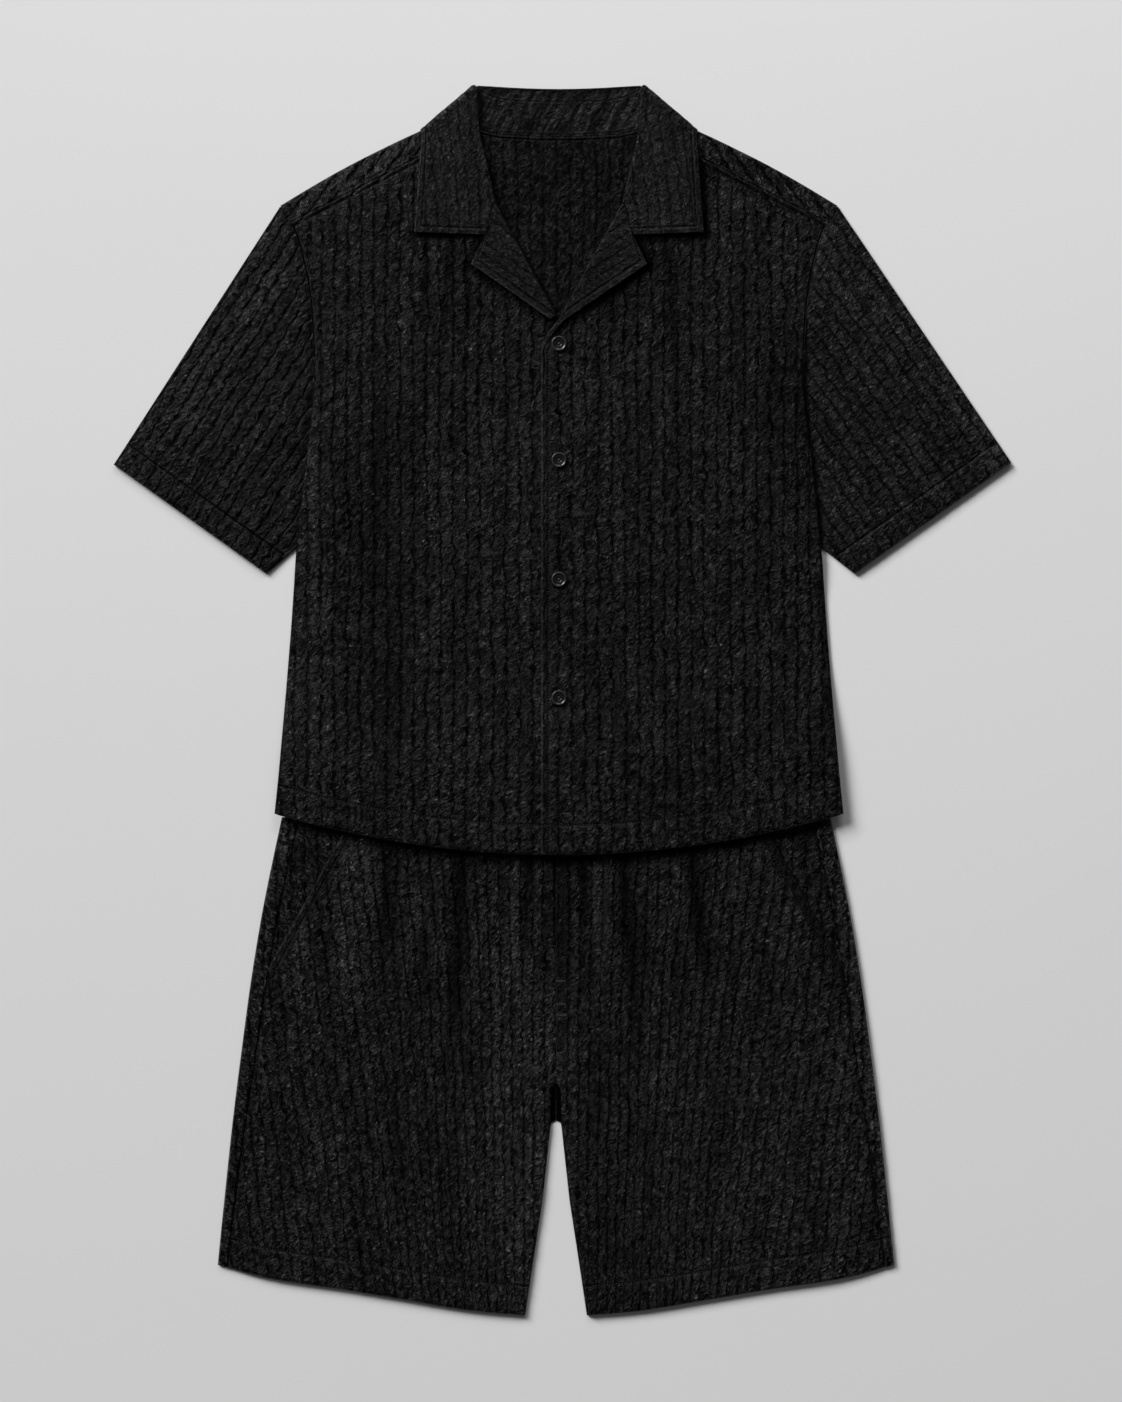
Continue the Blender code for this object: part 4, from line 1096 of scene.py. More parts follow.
@dataclass
class Front:
    """One front of the shirt, from the placket to the side seam and the armhole."""

    form: ShirtForm
    side: Side
    crinkle: Crinkle
    column_pitch: float = 1.5
    row_pitch: float = 2.1
    edge_stitch: float = 7.0
    folds: tuple = ()
    light_shade_bands: tuple = ()

    def relief(self, x: np.ndarray, y: np.ndarray) -> np.ndarray:
        """Height of the ribs, bands, seams and small folds above the plain cloth.

        Args:
            x: Distance from the centre line.
            y: Height on the set.

        Returns:
            Height in millimetres.
        """
        form = self.form
        placket = x + form.placket_lap
        height = self.crinkle.height(x * self.side.value, y) * (1.0 - 0.45 * ramp(placket, 34.0, 28.0))
        from_hem = y - form.hem(x)
        height = form.hem_band.pressed(height, from_hem)
        height = height + form.hem_band.rippled(from_hem, Ripples(17).at(x / 4.4, from_hem / 9.0))
        if self.side is Side.LEFT:
            height = height - 1.0 * bell(placket - self.edge_stitch, 1.3)
            height = height * (1.0 - 0.6 * ramp(placket, self.edge_stitch + 1.0, self.edge_stitch - 1.0))
            height = height + 0.45 * ramp(placket, self.edge_stitch, self.edge_stitch - 2.0)
        for spot in form.buttons:
            near = np.hypot(x, y - spot)
            height = height * (1.0 - 0.8 * bell(near, 12.0)) + 0.25 * bell(near, 12.0)
        from_seam = form.seam(x) - y
        height = height * ramp(from_seam, -1.0, 5.0) - 0.2 * bell(from_seam, 1.6)
        from_side = form.edge(y) - x
        height = height * (0.3 + 0.7 * ramp(from_side, 3.0, 15.0))
        at_armhole = 1.0 - form.folded(y)
        height = height + (0.5 * bell(from_side - 3.2, 2.2) - 0.5 * ramp(from_side, 1.6, 0.0)) * at_armhole
        for fold, share, distance in self.fold_lines(x, y):
            fade = ramp(share, 0.0, 0.3) * ramp(share, 1.05, 0.8)
            height = height + fold["depth"] * fade * bell(distance, fold["width"])
        if self.side is Side.RIGHT:
            height = height * ramp(x, form.placket_lap - 1.0, form.placket_lap + 7.0)
        return height

    def fold_lines(self, x: np.ndarray, y: np.ndarray) -> list[tuple]:
        """Each small fold, with the share of the way up it and the distance from its line.

        Args:
            x: Distance from the centre line.
            y: Height along the body.

        Returns:
            Rows of (fold, share, distance).
        """
        made = []
        for fold in self.folds:
            share = (y - fold["low"]) / (fold["high"] - fold["low"])
            made.append((fold, share, x - mix(fold["x_low"], fold["x_high"], share)))
        return made

    def calm(self, x: np.ndarray, y: np.ndarray) -> np.ndarray:
        """Share by which the puckers are pressed out: at stitched edges, seams and buttons.

        Args:
            x: Distance from the centre line.
            y: Height along the body.

        Returns:
            The share, from 0 to 1.
        """
        form = self.form
        placket = ramp(x + form.placket_lap, self.edge_stitch + 1.5, self.edge_stitch - 0.5)
        stitch = bell(x + form.placket_lap - self.edge_stitch, 3.0)
        hem = form.hem_band.calm(y - form.hem(x))
        seam = 0.9 * bell(form.seam(x) - y, 3.5)
        side = 0.85 * bell(form.edge(y) - x, 8.0)
        near_button = [0.85 * bell(np.hypot(x, y - spot), 11.0) for spot in form.buttons]
        return np.clip(np.maximum.reduce([0.85 * placket, 0.6 * stitch, hem, seam, side, *near_button]), 0.0, 1.0)

    def marks(self, x: np.ndarray, y: np.ndarray) -> dict:
        """Marks for the finish: the placket and hem stitches, the free edges, and painted shade and light.

        Args:
            x: Distance from the centre line.
            y: Height along the body.

        Returns:
            Each mark by its name.
        """
        form = self.form
        from_hem = y - form.hem(x)
        placket = np.full(np.shape(x), FAR)
        if self.side is Side.LEFT:
            placket = from_line(x, y, ((-form.placket_lap, form.hem_centre - 20.0), *form.front_neck[:3]))
        stitch = nearest(from_hem - form.hem_band.width, placket - self.edge_stitch)
        # Painted shadow along the lower edges of the collar and lapels.
        shade = 0.75 * ramp(from_line(x, y, form.collar_line[self.side is Side.RIGHT:]), 13.0, 1.0)
        # Painted shade along the folds that sink.
        for fold, share, distance in self.fold_lines(x, y):
            if fold["depth"] < 0.0:
                fade = 0.6 * ramp(share, 0.0, 0.5) * ramp(share, 1.1, 0.9)
                shade = np.maximum(shade, fade * bell(distance, 4.0))
        stitch = nearest(stitch, 1.3 * (form.edge(y) - x - 0.9) + FAR * form.folded(y))
        # Bands of painted shade and painted light, where the drape loses or catches the light.
        band_light_shade = bands(x, y, self.light_shade_bands)
        return {"calm": np.maximum(self.calm(x, y), 0.75 * ramp(-band_light_shade, 0.25, 0.5)), "stitch": stitch - FAR,
                "rim": np.minimum(from_hem, placket) - FAR, "shade": shade + band_light_shade}

    def top(self, x: np.ndarray, y: np.ndarray) -> np.ndarray:
        """Height of the upper face, relief and all."""
        return self.form.front_underside(x, y, self.side) + CLOTH + self.relief(x, y)

    def build(self, finish: bpy.types.Material) -> bpy.types.Object:
        """Builds the panel.

        A column's place is a share of the way from the placket to the side, and a
        row's a share of the way from the hem to the top edge.

        Args:
            finish: The material.

        Returns:
            The piece.
        """
        form = self.form
        start = -form.placket_lap
        width = 262.0 - start - FOLD_RADIUS

        def column(share: np.ndarray, y: np.ndarray) -> np.ndarray:
            return form.column(start, share, y) - FOLD_RADIUS * share

        shares = edge_steps(width, self.column_pitch)[:-4]
        hem = settled(column, form.hem, form.hem_centre, shares)
        top = settled(column, form.front_top, 470.0, shares)
        levels = edge_steps(700.0, self.row_pitch)
        y = hem[:, None] + (top - hem)[:, None] * levels
        x = column(shares[:, None], y)
        under = form.front_underside(x, y, self.side)
        from_edge = np.minimum(np.minimum(y - hem[:, None], top[:, None] - y), x - start)
        at_seam = ramp(x, form.front_neck[-1][0], form.front_neck[-1][0] + 8.0)
        drop = np.maximum(edge_roll(np.minimum(y - hem[:, None], x - start), 1.0),
                          edge_roll(top[:, None] - y, 1.0) * (1.0 - 0.6 * at_seam))
        skin = np.stack([x, y, under + CLOTH + self.relief(x, y) * ramp(from_edge, -0.2, 2.5) - drop], -1)
        lining = np.stack([x, y, under], -1)
        side_hem, side_top = form.hem(283.5), form.seam_tip[1] - SEAM
        rows = side_hem + (side_top - side_hem) * levels
        half = form.edge(rows)
        lift = form.lift(half, rows)
        level = lift + 2.0 * FOLD_RADIUS
        turned = turned_edge(half, rows, level, lift + FOLD_RADIUS, form.folded(rows), 1.0, 7)
        rim_skin, rim_lining = (t[::-1] for t in turned)
        rim_skin[..., 2] += self.relief(rim_skin[..., 0], rim_skin[..., 1]) * np.linspace(1.0, 0.0, 7)[:, None]
        stations = np.append(spread(len(shares), 26), len(shares) + np.array([1, 3, 5, 6]))
        skin, lining = np.concatenate([skin, rim_skin]), np.concatenate([lining, rim_lining])
        name = f"shirt_front_{self.side.word}"
        x, y = skin[..., 0], skin[..., 1]
        shell = Shell(name + "_cloth", skin, lining, stations,
                      cloth=self.crinkle.coordinates(x * self.side.value, y), marks=self.marks(x, y))
        piece = shell.sewn(self.side, SHIRT_CENTRE, finish, name)
        return piece


@dataclass
class Back:
    """The back of the shirt: a flat panel, and the two shoulders that fold over to the front."""

    form: ShirtForm
    crinkle: Crinkle
    pitch: float = 1.9
    neck_columns: int = 140
    side_columns: tuple = (112.0, 125.0, 142.0, 160.0, 180.0, 203.0, 216.0, 229.0, 245.0, 258.0)
    low_rows: tuple = (0.0, 40.0, 75.0, 85.0, 130.0, 200.0, 250.0, 300.0, 350.0, 400.0, 450.0)
    low_reach: float = 485.0
    fine_from: float = 330.0
    turned_columns: int = 5

    def panel(self, finish: bpy.types.Material) -> bpy.types.Object:
        """Builds the flat panel, whose inside shows in the neck.

        Columns are fine across the neck and wide apart past it. Rows are fine
        above the placket's top.

        Args:
            finish: The material.

        Returns:
            The piece.
        """
        form = self.form
        inset = FOLD_RADIUS * math.hypot(1.0, form.shoulder_slope)
        neck = np.linspace(-form.neck_point, form.neck_point, self.neck_columns)
        outer = np.array(self.side_columns)
        plan = np.concatenate([-outer[::-1], neck, outer])
        low = np.array(self.low_rows) / self.low_reach
        shares = np.abs(plan) / 262.0
        sign = np.where(plan < 0.0, -1.0, 1.0)

        def column(share: np.ndarray, y: np.ndarray) -> np.ndarray:
            return form.column(0.0, share, y)

        hem = settled(column, form.hem, form.hem_centre, shares) + 3.0
        in_neck = np.abs(plan) <= form.neck_point
        over = settled(column, lambda x: form.shoulder(x) - inset, 520.0, shares)
        top = np.where(in_neck, table_at(form.back_neck, np.abs(plan)), over)
        top[np.isclose(np.abs(plan), form.neck_point)] = form.shoulder(form.neck_point) - inset
        start = self.fine_from
        rows_low = hem[:, None] + (start - hem)[:, None] * low
        rows_high = start + (top - start)[:, None] * np.linspace(0.0, 1.0, int(250.0 / self.pitch))
        y = np.concatenate([rows_low, rows_high], axis=1)
        blend = ramp(y, start - 60.0, start)
        x = sign[:, None] * mix(column(shares[:, None], y), np.abs(plan)[:, None], blend * in_neck[:, None])
        base = form.lift(x, y)
        inside = ramp(y, 340.0, 360.0) * ramp(np.abs(x), form.neck_point, form.neck_point - 6.0)
        relief = 0.6 * self.crinkle.height(x + 200.0, y) * inside * ramp(top[:, None] - y, 0.0, 6.0)
        skin = np.stack([x, y, base + CLOTH + relief], -1)
        lining = np.stack([x, y, base], -1)
        tip = form.shoulder_tip[0] - FOLD_RADIUS * math.sin(math.atan(form.shoulder_slope)) - SEAM
        tip_top = form.shoulder_tip[1] - FOLD_RADIUS - SEAM
        levels = np.concatenate([low * (start - hem[0]) / (tip_top - hem[0]), (
            start - hem[0] + (tip_top - start) * np.linspace(0.0, 1.0, rows_high.shape[1])) / (tip_top - hem[0])])
        rows = hem[0] + (tip_top - hem[0]) * levels
        half = np.minimum(form.edge(rows), tip + 0.0 * rows)
        lift = form.lift(half, rows)
        turned = turned_edge(half, rows, lift, lift + FOLD_RADIUS, form.folded(rows), -1.0, self.turned_columns)
        outside, inside_face = turned[0][::-1], turned[1][::-1]
        flip = np.array([-1.0, 1.0, 1.0])
        skin = np.concatenate([inside_face[::-1] * flip, skin, inside_face])
        lining = np.concatenate([outside[::-1] * flip, lining, outside])
        edge = self.turned_columns + len(outer)
        from_top = np.pad(top[:, None] - y, ((self.turned_columns, self.turned_columns), (0, 0)), "edge")
        stations = np.concatenate([
            np.arange(edge), edge + spread(len(neck), 21), edge + len(neck) + np.arange(edge),
        ])
        shell = Shell("shirt_back_cloth", skin, lining, stations,
                      cloth=self.crinkle.coordinates(skin[..., 0] + 200.0, skin[..., 1]),
                      marks={"calm": np.maximum(0.3, 0.9 * bell(from_top, 4.0)), "stitch": from_top - 3.5 - FAR})
        piece = shell.sewn(Side.LEFT, SHIRT_CENTRE, finish, "shirt_back")
        return piece

    def shoulder(self, side: Side, crinkle: Crinkle, finish: bpy.types.Material) -> bpy.types.Object:
        """Builds the part of the back that folds over one shoulder to the forward seam.

        The fold is a half circle of the fold radius round the shoulder line, and the
        strip runs straight from it to the seam.

        Args:
            side: Which shoulder.
            crinkle: The relief of the cloth, turned with the fold.
            finish: The material.

        Returns:
            The piece.
        """
        form = self.form
        slope = math.atan(form.shoulder_slope)
        inset = FOLD_RADIUS * math.hypot(1.0, form.shoulder_slope)
        tip = form.shoulder_tip[0] - FOLD_RADIUS * math.sin(slope) + SEAM
        x0 = np.linspace(form.neck_point, tip, 118)
        base = np.stack([x0, form.shoulder(x0) - inset], -1)
        outward = np.array([math.sin(slope), math.cos(slope)])
        lift = form.lift(base[:, 0], base[:, 1])
        turn = np.linspace(-np.pi / 2.0, np.pi / 2.0, 11)
        share = (x0 - form.neck_point) / (form.shoulder_tip[0] - 1.1 - form.neck_point)
        end_x = mix(form.strip_neck, form.seam_tip[0] + 0.9, share)
        end = np.stack([end_x, form.seam(end_x) + SEAM], -1)
        down = edge_steps(27.0, 1.5)[3:]
        strip = base[:, None] + (end - base)[:, None] * down[None, :, None]
        level = form.lift(strip[..., 0], strip[..., 1]) + 2.0 * FOLD_RADIUS
        faces = []
        for radius, drop in ((FOLD_RADIUS, 0.0), (FOLD_RADIUS - CLOTH, CLOTH)):
            bend = base[:, None] + outward * (radius * np.cos(turn))[None, :, None]
            bend_z = lift[:, None] + FOLD_RADIUS + radius * np.sin(turn)
            flat = np.concatenate([bend, strip], axis=1)
            faces.append(np.concatenate([flat, np.concatenate([bend_z, level - drop], axis=1)[..., None]], axis=2))
        skin, lining = faces
        lean = math.radians(-36.0)
        u = skin[..., 0] * math.cos(lean) - skin[..., 1] * math.sin(lean)
        v = skin[..., 0] * math.sin(lean) + skin[..., 1] * math.cos(lean)
        from_seam = skin[..., 1] - form.seam(skin[..., 0])
        fade = np.concatenate([ramp(turn, 0.2, 1.4), np.ones(len(down))])
        relief = 0.8 * crinkle.height(u, v) * fade * ramp(from_seam, 0.0, 5.0)
        stitch = 0.55 * bell(from_seam - 6.0, 1.3) * fade
        skin[..., 2] += relief - stitch - edge_roll(np.maximum(from_seam, 0.0), 0.5)
        # Painted light: the shade below 0 makes the whole strip paler.
        marks = {"calm": 0.8 * bell(np.maximum(from_seam, 0.0), 3.5), "stitch": from_seam - 5.0 - FAR,
                 "shade": np.full(from_seam.shape, -0.35)}
        shell = Shell(f"shoulder_{side.word}_cloth", skin, lining, spread(len(x0), 18),
                      cloth=crinkle.coordinates(u, v), marks=marks)
        return shell.sewn(side, SHIRT_CENTRE, finish)


@dataclass
class Collar:
    """The open collar: leaves on the fronts, stand inside the neck, fall behind the back."""

    form: ShirtForm
    crinkle: Crinkle
    layer: float = 1.8
    gap: float = 0.7
    clear: float = 0.7
    notch: tuple = (74.0, 463.8)
    tip: tuple = (144.5, 466.0)
    outer: tuple = (137.0, 564.0)
    neck_seam: tuple = ((67.0, 498.0), (106.6, 553.2), (101.2, 582.5))
    roll_line: tuple = ((63.0, 496.5), (79.0, 566.0), (81.5, 611.5))
    back_roll: tuple = (610.6, 4.1)
    edge_band: Band = Band(6.6, press=0.7, rise=0.3, groove=0.5, groove_width=1.0, outer=0.8, inner=1.0,
                           ripple=0.22, ripple_reach=5.0)
    leaf_length: float = 118.0
    leaf_pitch: float = 1.25
    shoulder_columns: int = 8
    back_columns: int = 62
    rib_lean: float = 6.0
    stand_stitch: float = 34.0
    curl: float = 2.2

    def across_ribs(self, x: np.ndarray, y: np.ndarray, side: Side) -> np.ndarray:
        """Distance across the ribs, which lean a little on the leaves."""
        lean = math.radians(self.rib_lean)
        return x * side.value * math.cos(lean) + y * math.sin(lean)

    def half(self, side: Side) -> tuple[np.ndarray, np.ndarray, np.ndarray, np.ndarray]:
        """Skin, lining, cloth coordinates and marks of half the collar, from gorge to centre back.

        Each column is a path from the neck seam up the stand, over the roll and down
        the fall. Columns start on the front, turn half a circle about the shoulder
        fold, and run behind the back. The leaf is a patch between four edges.

        Args:
            side: Which half.

        Returns:
            Skin and lining, each columns by path points by 3, the cloth coordinates, and
            the marks calm, stitch, rim and painted shade as a last axis.
        """
        layer, gap = self.layer, self.gap
        ring = (self.form.fall_lift + 2.0 * FOLD_RADIUS + CAD_RIB + self.clear + layer) / 2.0
        roll_radius = layer + gap / 2.0
        on_leaf, back = edge_steps(self.leaf_length, self.leaf_pitch), self.back_columns
        u = np.concatenate([on_leaf, np.ones(self.shoulder_columns + back)])
        over = np.radians(np.linspace(20.0, 160.0, self.shoulder_columns))
        turn = np.concatenate([np.zeros(len(on_leaf)), over, np.full(back, np.pi)])
        far = np.concatenate([np.ones(len(u) - back), np.linspace(1.0, 0.0, back)])
        behind = np.arange(len(u)) >= len(u) - back
        heading = np.where(behind, 90.0, mix(160.0, 166.0, np.sin(np.pi * u)) - 70.0 * turn / np.pi)
        heading = np.radians(heading)
        outward = np.stack([np.cos(heading), np.sin(heading)], -1)
        neck = along_line(self.neck_seam, u)
        neck_x = self.neck_seam[-1][0] * far
        neck_y = table_at(self.form.back_neck, self.form.neck_point * far) + SEAM + 0.2
        neck = np.where(behind[:, None], np.stack([neck_x, neck_y], -1), neck)
        corner = self.roll_line[-1][0]
        roll_y = self.back_roll[0] + self.back_roll[1] * far ** 2 - 0.8 * far ** 6
        roll = np.where(behind[:, None], np.stack([corner * far, roll_y], -1), along_line(self.roll_line, u))
        side_x = self.outer[0] * far
        edge = np.where(behind[:, None], np.stack([side_x, self.form.fall_edge(side_x)], -1),
                        mix(self.tip, self.outer, u[:, None]))
        centre = roll - outward * roll_radius
        v = edge_steps(70.0, 1.15)[3:]
        leaf = (turn == 0.0)[:, None, None]
        start = along_line((centre[0], self.notch, self.tip), v)
        first, last = centre[0], centre[len(on_leaf) - 1]
        finish_line = mix(last, self.outer, v[:, None])
        ruled = mix(centre[:, None], edge[:, None], v[None, :, None])
        across = mix(start[None], finish_line[None], u[:, None, None])
        bottom, top = mix(first, last, u[:, None]), mix(self.tip, self.outer, u[:, None])
        corners = mix(bottom[:, None], top[:, None], v[None, :, None])
        fall = np.where(leaf, ruled + across - corners, ruled)
        stand = mix(neck[:, None], centre[:, None], np.linspace(0.0, 1.0, 26)[None, :, None])
        bend = np.radians(np.linspace(-75.0, 75.0, 9))
        fall_normal, stand_normal = np.array([0.653, 0.757]), np.array([0.83, 0.558])
        edge_normal = np.array([0.35, 0.937])
        count = stand.shape[1]
        faces = []
        for stand_at, nose, fall_at in (
            (ring - 2.0 * layer - gap, roll_radius, ring), (ring - layer - gap, gap / 2.0, ring - layer),
        ):
            round_spot = centre[:, None] + outward[:, None] * (nose * np.cos(bend))[None, :, None]
            spots = np.concatenate([stand, round_spot, fall], axis=1)
            offset = np.concatenate([
                np.full(count, stand_at), ring - roll_radius + nose * np.sin(bend), np.full(len(v), fall_at)])
            faces.append([spots, np.broadcast_to(offset, spots.shape[:2]).copy()])
        normal = np.concatenate([
            np.tile(stand_normal, (count, 1)), np.tile((stand_normal + fall_normal) / 2.0, (len(bend), 1)),
            mix(fall_normal, edge_normal, ramp(v, 0.7, 1.0)[:, None])])
        raised, marks = self.relief(faces[0][0], count, len(bend), edge, turn, side)
        faces[0][1] += raised
        curl = self.curl * ramp(v, 0.35, 1.0) * (turn == 0.0)[:, None] * ramp(u, 1.05, 0.6)[:, None]
        for face in faces:
            face[1][:, count + len(bend):] += curl
        x, y = faces[0][0][..., 0], faces[0][0][..., 1]
        on_stand = (np.arange(x.shape[1]) < count)[None, :]
        across = np.where(on_stand, x * side.value - 0.6 * y, self.across_ribs(x, y, side))
        cloth = self.crinkle.coordinates(across + 400.0, np.where(on_stand, 0.8 * (y + 0.6 * x * side.value), y))
        made = []
        for spots, offset in faces:
            level = self.form.over_front(spots[..., 0], spots[..., 1], side) + layer
            flat = np.concatenate([spots, (level - ring + offset)[..., None]], -1)
            out = offset * np.sin(turn)[:, None]
            plan = spots + normal[None] * out[..., None]
            bent = np.concatenate([plan, (ring + offset * np.cos(turn)[:, None])[..., None]], -1)
            made.append(moved(np.where(leaf, flat, bent), side, SHIRT_CENTRE))
        return made[0], made[1], cloth, marks

    def relief(
        self, spots: np.ndarray, stand: int, bend: int, edge: np.ndarray, turn: np.ndarray, side: Side
    ) -> tuple[np.ndarray, np.ndarray]:
        """Height and marks of the ribs and stitched bands on the collar's outer face.

        Args:
            spots: Plan places of the path points.
            stand: How many path points the stand has.
            bend: How many the roll has.
            edge: Outer edge point of each column.
            turn: Turn of each column about the shoulder fold.
            side: Which half.

        Returns:
            Height outwards from the face, and the marks calm, stitch, rim and painted shade as a last axis.
        """
        x, y = spots[..., 0], spots[..., 1]
        noise = Ripples(29 + side.value)
        height = 0.5 * self.crinkle.height(self.across_ribs(x, y, side) + 400.0, y)
        from_outer = np.hypot(x - edge[:, :1], y - edge[:, 1:])
        from_bottom = y - mix(self.notch[1], self.tip[1], (x - self.notch[0]) / (self.tip[0] - self.notch[0]))
        from_bottom = np.where((turn == 0.0)[:, None] & (x > self.notch[0] - 8.0), from_bottom, 99.0)
        from_edge = np.minimum(from_outer, np.maximum(from_bottom, 0.0))
        height = self.edge_band.pressed(height, from_edge)
        height = height + self.edge_band.rippled(from_edge, noise.at((x + y) / 3.2, (x - y) / 7.0))
        inset = self.edge_band.width
        calm = np.maximum(0.3 + 0.45 * self.edge_band.inside(from_edge), 0.7 * bell(from_edge - inset, 2.2))
        height = height * ramp(from_edge, 0.0, 1.6) - edge_roll(from_edge, 0.8)
        at_roll = np.zeros(spots.shape[1])
        at_roll[stand:stand + bend] = 1.0
        height = height * (1.0 - 0.75 * at_roll)
        from_neck = np.hypot(x - x[:, :1], y - y[:, :1])
        line = bell(from_neck - self.stand_stitch, 1.6) + 0.6 * bell(from_neck - 2.5, 1.4)
        twist = Ripples(29).at((x * side.value - 0.5 * y) / 3.2 + 70.0, y / 13.0)
        behind = (turn > np.pi - 0.01)[:, None] & (np.arange(spots.shape[1])[None, :] < stand)
        stand_height = 0.6 + 0.8 * twist * (1.0 - line) - 0.7 * line
        calm = np.where(behind, np.maximum(0.55, 0.8 * line), calm)
        height = np.where(behind, stand_height, height)
        front_stand = (turn < np.pi - 0.01)[:, None] & (np.arange(spots.shape[1])[None, :] < stand)
        middle = stand + bend // 2
        from_roll = np.hypot(x - x[:, middle:middle + 1], y - y[:, middle:middle + 1])
        from_roll = from_roll + FAR * (turn > 0.0)[:, None]
        on_fall = np.arange(spots.shape[1])[None, :] >= middle
        stitch = np.where(on_fall, from_edge - inset,
                          nearest(from_neck - self.stand_stitch, from_neck - 1.5))
        rim = np.where(on_fall, np.minimum(from_edge, from_roll), FAR)
        # Painted shade in the hollows of the stand's twist, and a little painted light on its ridges.
        shade = np.where(behind, (0.85 * ramp(twist, 0.1, -0.5) - 0.2) * (1.0 - line), 0.0)
        marks = np.stack(np.broadcast_arrays(calm, stitch - FAR, rim - FAR, shade), -1)
        return np.where(front_stand, 0.0, height), marks

    def build(self, finish: bpy.types.Material) -> bpy.types.Object:
        """Joins the two halves into one shell at the centre back.

        Args:
            finish: The material.

        Returns:
            The piece.
        """
        left, right = self.half(Side.LEFT), self.half(Side.RIGHT)
        skin, lining, cloth, marks = (np.concatenate([a, b[::-1][1:]]) for a, b in zip(left, right))
        flat = len(edge_steps(self.leaf_length, self.leaf_pitch))
        every = np.arange(len(skin))
        turning = np.isin(np.minimum(every, every[::-1]), np.arange(flat - 1, flat + self.shoulder_columns + 1))
        stations = every[turning | (every % 3 == 0) | (every == every[-1])]
        shell = Shell("collar_cloth", skin, lining[stations], stations, cloth=cloth,
                      marks={word: marks[..., k] for k, word in enumerate(("calm", "stitch", "rim", "shade"))})
        piece = dress(shell.build(finish), "collar")
        return piece


